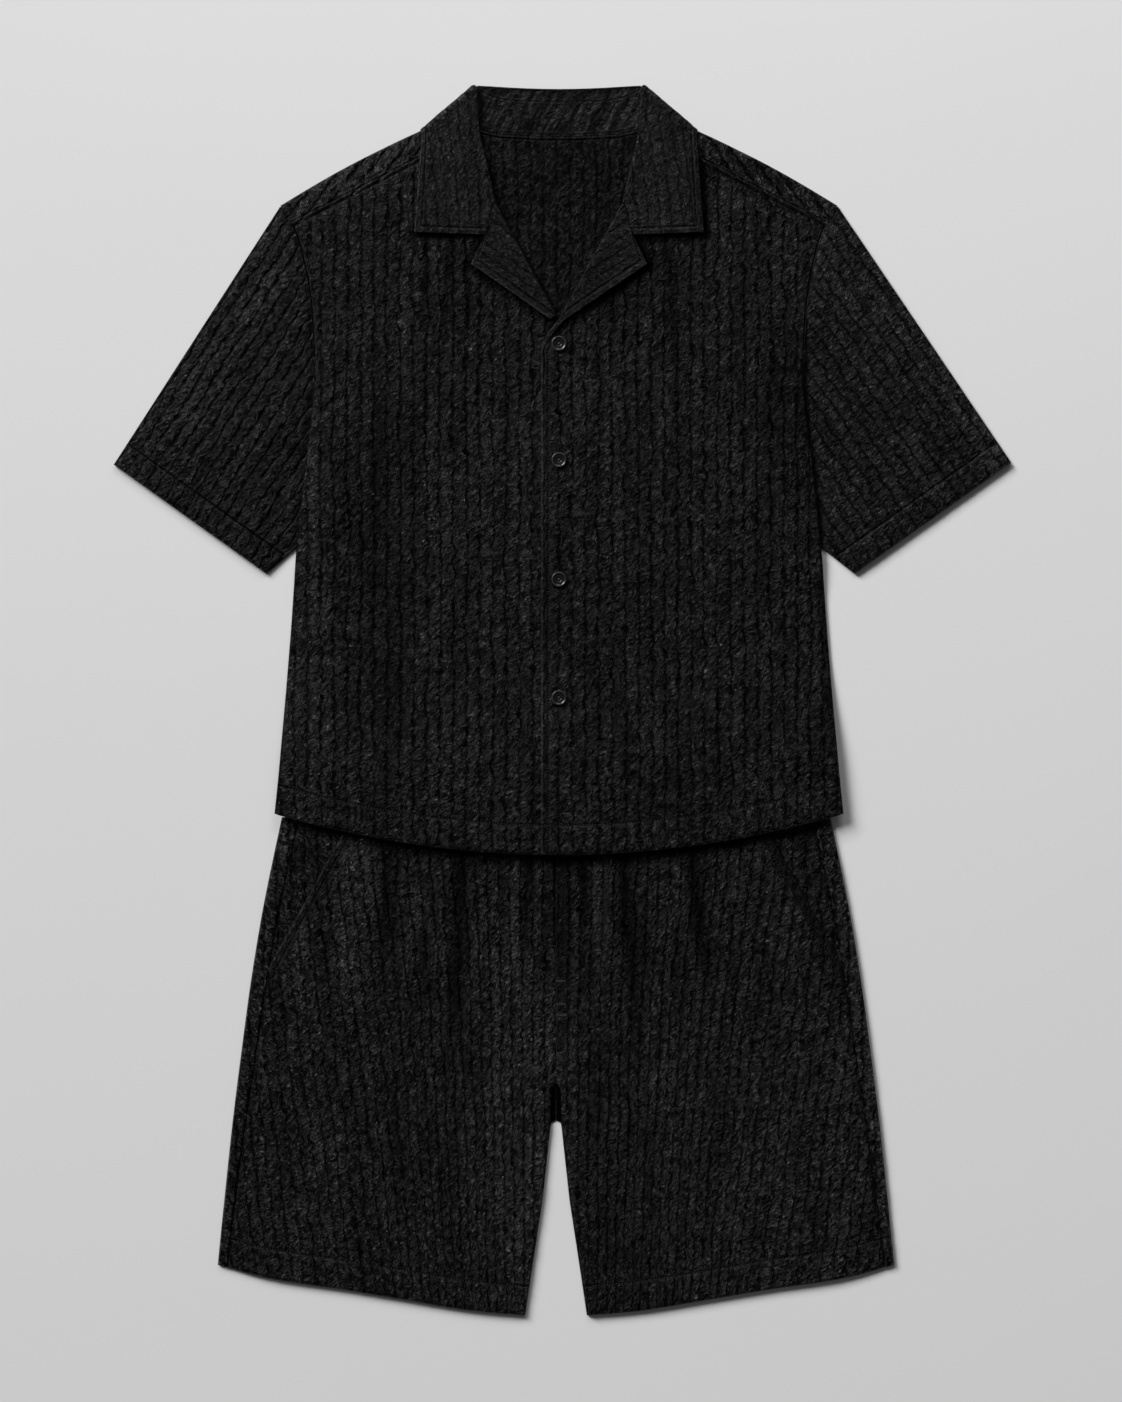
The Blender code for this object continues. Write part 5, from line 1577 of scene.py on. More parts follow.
@dataclass
class Lapel:
    """A lapel: the turned-out top of a front, rounded along the roll line."""

    form: ShirtForm
    side: Side
    crinkle: Crinkle
    starts: dict = field(default_factory=lambda: {
        Side.LEFT: ((-0.6, 379.7), (4.2, 377.6)), Side.RIGHT: ((2.2, 384.0), (9.6, 380.2)),
    })
    tail: tuple = ((-17.8, 354.5), (-14.8, 360.5), (-9.3, 368.5))
    tail_width: tuple = (3.6, -1.9)
    gorge: tuple = (62.7, 495.3)
    notch: tuple = (73.5, 463.45)
    tip: tuple = (88.0, 434.5)
    tip_at: float = 0.72
    layer: float = 1.8
    wall_at: float = 2.9
    curl: float = 1.8
    length: float = 132.0
    rib_lean: float = 55.0
    edge_band: Band = Band(6.0, press=0.7, rise=0.3, groove=0.28, groove_width=1.0, outer=0.8, inner=1.0)

    def build(self, finish: bpy.types.Material) -> bpy.types.Object:
        """Builds the lapel.

        The wearer's left one runs on as a narrow tail that bends into the placket's
        edge and sinks to it. Columns run from the lower end of the roll line to the
        gorge. Each goes round a half circle at the roll line and then flat to the
        outer edge.

        Args:
            finish: The material.

        Returns:
            The piece.
        """
        form, side = self.form, self.side
        roll_start, edge_start = (np.array(p) for p in self.starts[side])
        u = np.unique(np.concatenate([edge_steps(self.length, 1.5), [self.tip_at]]))
        if side is Side.LEFT:
            u = np.concatenate([np.linspace(-0.2, 0.0, 16, endpoint=False), u])
        tail = along_line((*self.tail, self.starts[side][0]), np.clip(1.0 + 5.0 * u, 0.0, 1.0))
        on_tail = (u < 0.0)[:, None]
        roll = np.where(on_tail, tail, mix(roll_start, self.gorge, u[:, None]))
        tail_edge = tail + mix(edge_start - roll_start, self.tail_width, -5.0 * u[:, None])
        lower = np.where(on_tail, tail_edge, mix(edge_start, self.tip, (u / self.tip_at)[:, None]))
        sink = 2.8 * ramp(u, -0.05, -0.2)
        upper = mix(self.tip, self.notch, ((u - self.tip_at) / (1.0 - self.tip_at))[:, None])
        edge = np.where((u <= self.tip_at)[:, None], lower, upper)
        inward = np.array([0.88, -0.476])
        nose = roll + inward * self.wall_at
        low = form.front_underside(nose[:, 0], nose[:, 1], side)
        high = form.over_front(nose[:, 0], nose[:, 1], side) + self.layer - sink
        radius = (high - low) / 2.0
        turn = np.linspace(-np.pi / 2.0, np.pi / 2.0, 13)
        bend = roll[:, None] + inward * (radius[:, None] * (1.0 - np.cos(turn)))[..., None]
        bend_z = low[:, None] + radius[:, None] * (1.0 + np.sin(turn))
        v = edge_steps(48.0, 1.1)[3:]
        plate = mix(nose[:, None], edge[:, None], v[None, :, None])
        level = form.over_front(plate[..., 0], plate[..., 1], side) - sink[:, None]
        skin_z = np.concatenate([bend_z, level + self.layer], axis=1)
        spots = np.concatenate([bend, plate], axis=1)
        lean = math.radians(self.rib_lean)
        x, y = spots[..., 0], spots[..., 1]
        u_cloth = x * math.cos(lean) - y * math.sin(lean) + 700.0
        v_cloth = x * math.sin(lean) + y * math.cos(lean)
        relief = 0.5 * self.crinkle.height(u_cloth, v_cloth)
        gap = np.linalg.norm(edge - nose, axis=1)[:, None] * (1.0 - v)
        from_outer = np.concatenate([np.full(bend.shape[:2], FAR), gap * 0.8], axis=1)
        from_gorge = (1.0 - u) * self.length
        from_outer = np.where(u[:, None] > self.tip_at, np.minimum(from_outer, FAR), from_outer)
        relief = self.edge_band.pressed(relief * ramp(from_outer, 0.0, 2.0), from_outer)
        relief = relief * ramp(from_gorge, 0.0, 3.0)[:, None]
        inset = self.edge_band.width
        calm = np.maximum(0.3 + 0.45 * self.edge_band.inside(from_outer), 0.7 * bell(from_outer - inset, 2.2))
        from_roll = np.hypot(spots[..., 0] - roll[:, :1], spots[..., 1] - roll[:, 1:])
        marks = {"calm": calm, "stitch": from_outer - inset - FAR,
                 "rim": np.minimum(from_outer, from_roll) - FAR}
        curl = self.curl * ramp(v, 0.3, 1.0) * ramp(u, 0.05, 0.5)[:, None]
        level = level + curl
        skin_z[:, len(turn):] += curl
        fade = np.concatenate([ramp(turn, 0.1, 1.5), np.ones(len(v))])
        skin_z = skin_z + fade * (relief - edge_roll(from_outer, 0.8) - edge_roll(from_gorge, 0.7)[:, None])
        skin = np.concatenate([spots, skin_z[..., None]], -1)
        climb = (np.sin(turn) + 1.0) / 2.0
        wall = np.broadcast_to(nose[:, None], bend.shape)
        wall_z = mix(low[:, None], (high - self.layer)[:, None], climb)
        under = np.concatenate([np.concatenate([wall, plate], axis=1),
                                np.concatenate([wall_z, level], axis=1)[..., None]], -1)
        stations = np.union1d(np.arange((u < 0.05).sum()), spread(len(u), len(u) // 3))
        stations = np.union1d(stations, np.flatnonzero(u == self.tip_at))
        name = f"lapel_{side.word}"
        shell = Shell(name + "_cloth", skin, under, stations, cloth=self.crinkle.coordinates(u_cloth, v_cloth),
                      marks=marks)
        piece = shell.sewn(side, SHIRT_CENTRE, finish, name)
        return piece


@dataclass
class Sleeve:
    """A short sleeve as a flattened tube, open at the armhole and at the cuff."""

    form: ShirtForm
    side: Side
    crinkle: Crinkle
    slope: float = 57.2
    reach: tuple = (308.0, 317.0)
    width: float = 210.0
    cuff: float = 187.5
    thin: float = 3.4
    loft: float = 2.2
    hem_band: Band = Band(25.0, press=0.35)
    taper_from: float = 240.0
    tucked: tuple = ((243.0, 309.0), (241.0, 249.0), (232.0, 177.3))

    def thickness(self, x: np.ndarray, y: np.ndarray) -> np.ndarray:
        """Height of the upper face: thin where it is tucked under the body.

        Args:
            x: Distance from the centre line.
            y: Height along the body.

        Returns:
            The height.
        """
        from_body = x - self.form.edge(y)
        near = mix(self.thin, 2.0 * FOLD_RADIUS, ramp(y, 330.0, 400.0))
        return near + (self.thin + self.loft - near) * ramp(from_body, 2.0, 45.0)

    def build(self, finish: bpy.types.Material) -> bpy.types.Object:
        """Builds the tube.

        A point has a distance b across the sleeve and a along it. The upper layer
        is fine, both folded edges are half circles, and the layer below is plain.

        Args:
            finish: The material.

        Returns:
            The piece.
        """
        form = self.form
        angle = math.radians(self.slope)
        along = np.array([math.cos(angle), -math.sin(angle)])
        across = np.array([-math.sin(angle), -math.cos(angle)])
        tip = np.array(form.shoulder_tip)
        armhole = [(x, y) for y, x in reversed(form.body_edge) if y > 315.0] + list(self.tucked)
        seam = np.array([((np.array(p) - tip) @ across, (np.array(p) - tip) @ along) for p in armhole])

        def spine(share: np.ndarray) -> tuple[np.ndarray, np.ndarray, np.ndarray]:
            """Points down the sleeve, their distance from the seam line, and from the cuff."""
            begin = smooth_at(tuple(map(tuple, seam)), np.maximum(share * self.width, FOLD_RADIUS)) + 0.6 * SEAM
            end = mix(self.reach[0], self.reach[1], share)
            a = begin[:, None] + (end - begin)[:, None] * edge_steps(300.0, 2.0)
            wide = np.interp(a, (self.taper_from, self.reach[1]), (self.width, self.cuff))
            return tip + along * a[..., None] + across * (share[:, None] * wide)[..., None], a, end[:, None] - a

        share = np.linspace(0.014, 0.986, int(self.width / 1.5))
        plan, a, from_cuff = spine(share)
        b = share[:, None] * self.width
        x, y = plan[..., 0], plan[..., 1]
        level = self.thickness(x, y)
        from_body = x - form.edge(y)
        relief = self.crinkle.height(b * self.side.value + 900.0, a)
        relief = self.hem_band.pressed(relief, from_cuff)
        relief = relief + self.hem_band.rippled(from_cuff, Ripples(41).at(b / 4.2, a / 9.0))
        relief = relief * mix(0.0, 1.0, np.maximum(ramp(y, 330.0, 372.0), ramp(from_body, 1.0, 9.0)))
        relief = relief * ramp(from_body, 0.2, 4.0) * ramp(np.minimum(b, self.width - b), 0.0, 6.0)
        relief = relief - 0.4 * bell(from_body - 2.0, 3.0) * ramp(y, 330.0, 372.0)
        drop = edge_roll(from_cuff, 1.0)
        upper = np.concatenate([plan, (level + relief - drop)[..., None]], -1)
        upper_in = np.concatenate([plan, (level - CLOTH)[..., None]], -1)

        def turned(at: float, sign: float) -> tuple[np.ndarray, np.ndarray]:
            """The turned edge of the tube at one side: its skin and its lining."""
            points = spine(np.array([at]))[0][0]
            radius = (self.thickness(points[:, 0], points[:, 1]) / 2.0)[:, None]
            turn = np.radians(np.linspace(80.0, -90.0, 9))
            faces = []
            for r in (radius, np.maximum(radius - CLOTH, 0.15)):
                place = points[:, None] + across * sign * (r * np.cos(turn) - radius)[..., None]
                face = np.concatenate([place, (radius + r * np.sin(turn))[..., None]], -1)
                faces.append(face.transpose(1, 0, 2))
            return faces[0], faces[1]

        below = spine(np.array([0.8, 0.6, 0.4, 0.2]))[0]
        floor = np.concatenate([below, np.zeros((*below.shape[:2], 1))], -1)
        floor_in = np.concatenate([below, np.full((*below.shape[:2], 1), CLOTH)], -1)
        far, near = turned(1.0, 1.0), turned(0.0, -1.0)
        skin = np.concatenate([upper, far[0], floor, near[0][::-1]])
        lining = np.concatenate([upper_in, far[1], floor_in, near[1][::-1]])
        count = len(share)
        stations = np.concatenate([spread(count, 18), count + np.arange(0, 9, 2), count + 9 + np.arange(4),
                                   count + 13 + np.arange(0, 9, 2)])
        name = f"sleeve_{self.side.word}"
        calm = np.maximum(self.hem_band.calm(from_cuff), 0.9 * bell(from_body, 5.0))
        # Painted light along the folded edge where b is 0, as shade below 0.
        marks = {"calm": calm, "stitch": from_cuff - self.hem_band.width - FAR, "rim": from_cuff - FAR,
                 "shade": -0.3 * bell(b, 45.0)}
        rest = ((0, len(skin) - len(a)), (0, 0))
        marks = {word: np.pad(values, rest) for word, values in marks.items()}
        local = skin[..., :2] - tip
        cloth = self.crinkle.coordinates(local @ across * self.side.value + 900.0, local @ along)
        shell = Shell(name + "_cloth", skin, lining, stations, True, cloth, marks)
        piece = shell.sewn(self.side, SHIRT_CENTRE, finish, name)
        return piece


@dataclass
class ShortsForm:
    """Outlines and levels of the shorts, measured from their own centre line."""

    outline: tuple = (
        (-117.2, 274.0), (-215.0, 294.0), (-279.0, 304.5), (-345.0, 313.5), (-425.0, 323.5),
        (-500.0, 331.5), (-570.0, 338.5), (-620.0, 343.0),
    )
    inset: tuple = (
        (-117.2, 17.0), (-215.0, 16.5), (-279.0, 16.0), (-345.0, 15.0), (-425.0, 13.0),
        (-500.0, 11.0), (-570.0, 9.5), (-620.0, 9.0),
    )
    mouth: tuple = ((-117.2, 204.0), (-268.0, 287.5))
    pocket_lap: float = 15.0
    front_inseam: tuple = (
        (-117.2, 0.15), (-381.0, 0.15), (-390.0, 5.0), (-425.0, 5.6), (-500.0, 13.5), (-559.0, 22.5),
        (-616.0, 31.0),
    )
    back_inseam: tuple = (
        (-117.2, 0.15), (-421.0, 0.15), (-422.6, 4.8), (-428.0, 5.6), (-500.0, 13.5), (-559.0, 22.5),
        (-616.0, 31.0),
    )
    hem_line: tuple = (
        (28.0, -614.8), (75.0, -611.0), (162.0, -597.2), (202.0, -590.5), (315.0, -570.8), (343.0, -562.0),
    )
    top: float = -117.2
    hem_band: Band = Band(30.0)
    mouth_stitch: float = 7.5
    centre_stitch: float = 8.5
    loft: float = 1.7
    troughs: tuple = (
        dict(side=-1, top=168.0, low=176.0, end=-330.0, width=15.0, depth=1.7),
        dict(side=-1, top=94.0, low=104.0, end=-370.0, width=17.0, depth=2.0),
        dict(side=-1, top=26.0, low=34.0, end=-300.0, width=10.0, depth=1.6),
        dict(side=1, top=66.0, low=82.0, end=-360.0, width=15.0, depth=2.0),
        dict(side=1, top=134.0, low=150.0, end=-310.0, width=15.0, depth=1.6),
        dict(side=1, top=26.0, low=30.0, end=-280.0, width=9.0, depth=1.3),
    )

    def edge(self, y: np.ndarray) -> np.ndarray:
        """Half width at the fold of the side."""
        return smooth_at(self.outline, y)

    def side_seam(self, y: np.ndarray) -> np.ndarray:
        """Distance of the side seam, which lies on the front of the leg."""
        return self.edge(y) - smooth_at(self.inset, y)

    def pocket_mouth(self, y: np.ndarray) -> np.ndarray:
        """Distance of the slanted pocket edge."""
        return table_at(self.mouth, y)

    def hem(self, x: np.ndarray) -> np.ndarray:
        """Height of a leg's hem."""
        return smooth_at(self.hem_line, x)

    def outer(self, y: np.ndarray) -> np.ndarray:
        """Outer edge of a front: the pocket mouth, then the side seam.

        Args:
            y: Height along the body.

        Returns:
            The edge's distance from the centre.
        """
        share = ramp(y, self.mouth[1][0], -279.0)
        below = mix(self.mouth[1][1], self.side_seam(y) - SEAM, share)
        return np.where(y >= self.mouth[1][0], self.pocket_mouth(y), below)

    def gathers(self, x: np.ndarray, y: np.ndarray, side: Side) -> np.ndarray:
        """Small upright folds below the waist: stretched noise that fades out down the leg.

        Args:
            x: Distance from the centre line.
            y: Height along the body.
            side: The wearer's side.

        Returns:
            The folds' height.
        """
        noise = Ripples(61 + side.value)
        down = self.top - y
        fade = ramp(down, 260.0, 60.0) * ramp(x, 8.0, 20.0) * ramp(self.outer(y) - x, 6.0, 22.0)
        lean = x - 0.06 * down * x / 250.0
        folds = noise.at(lean / 13.0, down / 150.0) + 0.5 * noise.at(lean / 6.6 + 30.0, down / 80.0)
        return fade * (1.3 + 1.2 * folds)

    def level(self, x: np.ndarray, y: np.ndarray, side: Side) -> np.ndarray:
        """Underside of a front: gathers, troughs between ridges, and the rise over the pocket facing.

        Args:
            x: Distance from the centre line.
            y: Height along the body.
            side: The wearer's side.

        Returns:
            The height of the underside.
        """
        loft = self.loft * ramp(self.side_seam(y) - x, 0.0, 55.0) * ramp(x, -30.0, 30.0)
        loft = loft + self.gathers(x, y, side)
        for trough in self.troughs:
            if trough["side"] == side.value:
                share = ramp(y, -116.8, trough["end"])
                centre = mix(trough["top"], trough["low"], share)
                fade = ramp(y, trough["end"], trough["end"] + 110.0)
                loft = loft - trough["depth"] * fade * bell(x - centre, 0.7 * trough["width"])
                for sign in (-1.0, 1.0):
                    ridge = bell(x - centre + sign * 1.1 * trough["width"], 0.7 * trough["width"])
                    loft = loft + 0.8 * trough["depth"] * fade * ridge * ramp(x, 6.0, 18.0)
        near = self.pocket_mouth(y) - self.pocket_lap
        mouth_end = self.mouth[1][0]
        rise = (CLOTH + SEAM) * ramp(x - near, -30.0, -3.0) * ramp(y, mouth_end - 60.0, mouth_end - 8.0)
        return 2.0 * FOLD_RADIUS - CLOTH + loft + rise

    def folded(self, y: np.ndarray, crotch: float) -> np.ndarray:
        """1 where the inner leg is a folded edge, 0 along the centre seam."""
        return ramp(y, crotch + 5.0, crotch - 18.0)


@dataclass
class ShortsFront:
    """One front of the shorts, with its gathers, its pocket mouth and its hem."""

    form: ShortsForm
    side: Side
    crinkle: Crinkle
    lean: float = 0.0
    light_shade_bands: tuple = ()
    column_pitch: float = 1.55
    row_pitch: float = 2.1
    fly: tuple = (
        (48.5, -150.0), (48.5, -240.0), (46.0, -262.0), (42.5, -281.0), (37.0, -296.0), (30.0, -304.0),
        (21.0, -309.0), (8.5, -312.0),
    )

    def across_ribs(self, x: np.ndarray, y: np.ndarray) -> np.ndarray:
        """Distance across the ribs, which fan out towards the side."""
        return (x - self.lean * (y - self.form.top) * ramp(x, 0.0, 200.0)) * self.side.value

    def hollows(self, y: np.ndarray) -> list[tuple]:
        """Each trough on this side with the place of its middle and its share of depth at a height.

        Args:
            y: Height along the body.

        Returns:
            Rows of (trough, place, share).
        """
        made = []
        for trough in self.form.troughs:
            if trough["side"] == self.side.value:
                centre = mix(trough["top"], trough["low"], ramp(y, self.form.top, trough["end"]))
                made.append((trough, centre, ramp(y, trough["end"] - 30.0, trough["end"] + 90.0)))
        return made

    def relief(self, x: np.ndarray, y: np.ndarray) -> np.ndarray:
        """Height of the ribs, bands and stitched lines above the plain cloth.

        Args:
            x: Distance from the centre line.
            y: Height on the set.

        Returns:
            Height in millimetres.
        """
        form = self.form
        noise = Ripples(53)
        height = self.crinkle.height(self.across_ribs(x, y), y) + 0.5
        from_hem = y - form.hem(x)
        height = form.hem_band.pressed(height, from_hem)
        height = height + form.hem_band.rippled(from_hem, noise.at(x / 4.4, from_hem / 9.0))
        from_mouth = (form.outer(y) - x) * np.where(y > form.mouth[1][0], 0.875, 1.0)
        at_pocket = ramp(y, form.mouth[1][0] - 12.0, form.mouth[1][0] - 2.0)
        height = height * (1.0 - 0.6 * at_pocket * ramp(from_mouth, 9.0, 7.0))
        height = height + 0.35 * at_pocket * ramp(from_mouth, 8.0, 6.5)
        stitch = from_mouth - form.mouth_stitch
        height = height - 0.9 * bell(stitch, 1.2) * at_pocket
        height = height + 0.25 * bell(stitch, 6.0) * at_pocket * noise.at(x / 5.0, y / 4.0)
        height = height * (0.4 + 0.6 * ramp(from_mouth, 0.0, 4.0))
        centre = ramp(y, -392.0, -380.0)
        if self.side is Side.RIGHT:
            return height * mix(1.0, ramp(x, -0.8, 1.6), centre)
        height = height * (1.0 - 0.6 * centre * ramp(x, 10.0, 7.5))
        height = height - 0.9 * bell(x - form.centre_stitch, 1.2) * centre
        height = height - 0.8 * bell(from_line(x, y, self.fly), 1.3)
        return height + 0.2 * ramp(x, 8.5, 6.0) * centre

    def calm(self, x: np.ndarray, y: np.ndarray) -> np.ndarray:
        """Share by which the puckers are pressed out: at the fly, the pocket mouth and the hem.

        Args:
            x: Distance from the centre line.
            y: Height along the body.

        Returns:
            The share, from 0 to 1.
        """
        form = self.form
        hem = form.hem_band.calm(y - form.hem(x))
        from_mouth = form.outer(y) - x
        band = ramp(from_mouth, 9.5, 7.5) * ramp(y, form.mouth[1][0] - 12.0, form.mouth[1][0] - 2.0)
        edge = 0.8 * bell(from_mouth, 3.5)
        fly = ramp(x, 10.0, 8.0) * ramp(y, -392.0, -380.0) * (self.side is Side.LEFT)
        return np.clip(np.maximum.reduce([hem, 0.8 * band, edge, 0.45 * fly]), 0.0, 1.0)

    def marks(self, x: np.ndarray, y: np.ndarray) -> dict:
        """Marks for the finish: stitched lines, the fly's curve, free edges, and painted shade and light.

        Args:
            x: Distance from the centre line.
            y: Height along the body.

        Returns:
            Each mark by its name.
        """
        form = self.form
        from_hem, from_mouth = y - form.hem(x), (form.outer(y) - x) * 0.9
        below_mouth = FAR * ramp(y, form.mouth[1][0] - 4.0, form.mouth[1][0] - 10.0)
        lines = [from_hem - form.hem_band.width, from_mouth - form.mouth_stitch + below_mouth]
        rim = np.minimum(from_hem, from_mouth + below_mouth)
        if self.side is Side.LEFT:
            below_centre = FAR * ramp(y, -380.0, -386.0)
            lines += [x - form.centre_stitch + below_centre, from_line(x, y, self.fly)]
            rim = np.minimum(rim, np.maximum(x, 0.0) + below_centre)
        # Painted shade in the low places of the gathers and along the troughs.
        down = ramp(y, -360.0, -230.0)
        shade = 0.6 * ramp(form.gathers(x, y, self.side), 1.0, 0.0) * down
        for trough, centre, fade in self.hollows(y):
            shade = np.maximum(shade, 0.9 * fade * bell(x - centre, 0.6 * trough["width"]))
        # Painted shadow of the shirt's hem on the shorts below it.
        under_hem = ShirtForm().hem(x * self.side.value - 3.0) - y
        shade = np.maximum(shade, 0.9 * ramp(under_hem, 18.0, 4.0))
        # Bands of painted shade and light; the whole front is also made a little paler.
        return {"calm": self.calm(x, y), "stitch": nearest(*lines) - FAR, "rim": rim - FAR,
                "shade": shade + bands(x, y, self.light_shade_bands) - 0.2}

    def top(self, x: np.ndarray, y: np.ndarray) -> np.ndarray:
        """Height of the upper face, relief and all."""
        return self.form.level(x, y, self.side) + CLOTH + self.relief(x, y)

    def build(self, finish: bpy.types.Material) -> bpy.types.Object:
        """Builds the panel, from the centre seam and inner leg to the pocket mouth and side seam.

        Args:
            finish: The material.

        Returns:
            The piece.
        """
        form = self.form
        crotch = form.front_inseam[2][0]

        def column(share: np.ndarray, y: np.ndarray) -> np.ndarray:
            inner = table_at(form.front_inseam, y) + FOLD_RADIUS
            straight = np.interp(y, (-617.0, -117.2), (331.0, 262.0))
            return inner + (straight - inner) * share + (form.outer(y) - straight) * share ** 2

        shares = edge_steps(300.0, self.column_pitch)[3:]
        hem = settled(column, form.hem, -600.0, shares)
        levels = edge_steps(480.0, self.row_pitch)
        y = form.top + (hem - form.top)[:, None] * levels
        x = column(shares[:, None], y)
        under = form.level(x, y, self.side)
        from_edge = np.minimum(y - hem[:, None], (form.outer(y) - x) * 0.9)
        at_seam = ramp(y, form.mouth[1][0], form.mouth[1][0] - 12.0)
        roll = np.maximum(edge_roll(y - hem[:, None], 1.0),
                          edge_roll((form.outer(y) - x) * 0.9, 1.0) * (1.0 - 0.6 * at_seam))
        shape = under + CLOTH + self.relief(x, y) * ramp(from_edge, -0.2, 2.5) - roll
        skin, lining = np.stack([x, y, shape], -1), np.stack([x, y, under], -1)
        inner_hem = settled(lambda s, h: table_at(form.front_inseam, h), form.hem, -614.0, np.zeros(1))[0]
        rows = form.top + (inner_hem - form.top) * levels
        inner = table_at(form.front_inseam, rows)
        level = form.level(inner + FOLD_RADIUS, rows, self.side) + CLOTH
        turned = turned_edge(-inner, rows, level, FOLD_RADIUS + 0.0 * rows, form.folded(rows, crotch), 1.0, 7)
        rim_skin, rim_lining = (t[:-1] * np.array([-1.0, 1.0, 1.0]) for t in turned)
        roll = edge_roll(np.abs(rim_skin[..., 0] - inner), 0.4) * (1.0 - form.folded(rows, crotch))
        rim_skin[..., 2] -= roll
        skin, lining = np.concatenate([rim_skin, skin]), np.concatenate([rim_lining, lining])
        stations = np.concatenate([[0, 2, 4], 6 + spread(len(shares), 28)])
        name = f"shorts_front_{self.side.word}"
        x, y = skin[..., 0], skin[..., 1]
        shell = Shell(name + "_cloth", skin, lining, stations,
                      cloth=self.crinkle.coordinates(self.across_ribs(x, y), y), marks=self.marks(x, y))
        piece = shell.sewn(self.side, SHORTS_CENTRE, finish, name)
        return piece


@dataclass
class ShortsBack:
    """One back of the shorts, flat on the floor and folded round to the side seam."""

    form: ShortsForm
    side: Side
    crinkle: Crinkle

    def build(self, finish: bpy.types.Material) -> bpy.types.Object:
        """Builds the panel: inner edge, flat stretch, folded side, strip to the seam.

        Args:
            finish: The material.

        Returns:
            The piece.
        """
        form = self.form
        crotch = form.back_inseam[2][0]
        levels = edge_steps(498.0, 2.4)

        def rows_at(column) -> tuple[np.ndarray, np.ndarray]:
            hem = settled(lambda s, h: column(h), form.hem, -600.0, np.zeros(1))[0]
            y = form.top + (hem - form.top) * levels
            return column(y), y

        x, y = rows_at(lambda h: table_at(form.back_inseam, h))
        turned = turned_edge(-x, y, 0.0 * y, FOLD_RADIUS + 0.0 * y, form.folded(y, crotch), -1.0, 5)
        skin, lining = ([face * np.array([-1.0, 1.0, 1.0])] for face in turned)
        for share in (0.03, 0.1, 0.3, 0.55, 0.8, 1.0):
            x, y = rows_at(lambda h, s=share: mix(table_at(form.back_inseam, h) + FOLD_RADIUS,
                                                  form.edge(h) - FOLD_RADIUS, s))
            skin.append(np.stack([x, y, 0.0 * x], -1)[None])
            lining.append(np.stack([x, y, 0.0 * x + CLOTH], -1)[None])
        turn = np.radians(np.linspace(-72.0, 90.0, 10))[:, None]
        inner = FOLD_RADIUS - CLOTH
        skin.append(np.stack(np.broadcast_arrays(
            x + FOLD_RADIUS * np.cos(turn), y, FOLD_RADIUS + FOLD_RADIUS * np.sin(turn)), -1))
        lining.append(np.stack(np.broadcast_arrays(
            x + inner * np.cos(turn), y, FOLD_RADIUS + inner * np.sin(turn)), -1))
        for share in np.linspace(0.12, 1.0, 9):
            x, y = rows_at(lambda h, s=share: mix(form.edge(h) - FOLD_RADIUS, form.side_seam(h), s))
            skin.append(np.stack([x, y, 0.0 * x + 2.0 * FOLD_RADIUS], -1)[None])
            lining.append(np.stack([x, y, 0.0 * x + 2.0 * FOLD_RADIUS - CLOTH], -1)[None])
        skin, lining = np.concatenate(skin), np.concatenate(lining)
        px, py = skin[..., 0], skin[..., 1]
        up = ramp(skin[..., 2], 3.4, 4.6)
        from_seam = px - form.side_seam(py)
        from_hem = py - form.hem(px)
        relief = 0.8 * self.crinkle.height(px + 500.0, py) * up * ramp(from_seam, 0.0, 3.0)
        relief = relief + 1.2 * up * ramp(from_seam, -0.5, 1.0)
        from_stitch = from_hem - form.hem_band.width
        relief = relief - up * (edge_roll(np.maximum(from_seam, 0.0), 0.4) + 0.6 * bell(from_stitch, 1.3))
        skin[..., 2] += relief * ramp(from_hem, 0.0, 2.0)
        name = f"shorts_back_{self.side.word}"
        # Painted shade where the back shows in the crotch slit, and painted light on the strip turned up to the
        # side seam.
        shell = Shell(name + "_cloth", skin, lining, np.arange(len(skin)),
                      cloth=self.crinkle.coordinates(px + 500.0, py),
                      marks={"stitch": np.where(up > 0.5, from_stitch, FAR) - FAR,
                             "shade": ramp(up, 0.5, 0.4) * ramp(py, -440.0, -425.0) - 0.45 * up})
        piece = shell.sewn(self.side, SHORTS_CENTRE, finish, name)
        return piece


@dataclass
class PocketFacing:
    """The piece that shows inside a slanted pocket mouth."""

    form: ShortsForm
    side: Side
    crinkle: Crinkle

    def build(self, finish: bpy.types.Material) -> bpy.types.Object:
        """Builds the facing between the hidden lap and the side seam.

        Args:
            finish: The material.

        Returns:
            The piece.
        """
        form = self.form
        bottom = form.mouth[1][0] - 7.0
        y = mix(form.mouth[0][0], bottom, np.linspace(0.0, 1.0, 82))
        share = np.linspace(0.0, 1.0, 60)[:, None]
        x = mix(form.pocket_mouth(y) - form.pocket_lap, form.side_seam(y) - SEAM, share)
        y = np.broadcast_to(y, x.shape)
        shown = ramp(x - form.pocket_mouth(y), 1.0, 7.0) * ramp(form.side_seam(y) - x, 0.0, 4.0)
        relief = 0.55 * self.crinkle.height(x + 620.0, y) * shown
        top = 2.0 * FOLD_RADIUS + relief - edge_roll(np.maximum(form.side_seam(y) - x - SEAM, 0.0), 0.9)
        skin, under = np.stack([x, y, top], -1), np.stack([x, y, 0.0 * x + 2.0 * FOLD_RADIUS - CLOTH], -1)
        stations = spread(60, 8)
        name = f"pocket_facing_{self.side.word}"
        shell = Shell(name + "_cloth", skin, under, stations, cloth=self.crinkle.coordinates(x + 620.0, y))
        piece = shell.sewn(self.side, SHORTS_CENTRE, finish, name)
        return piece


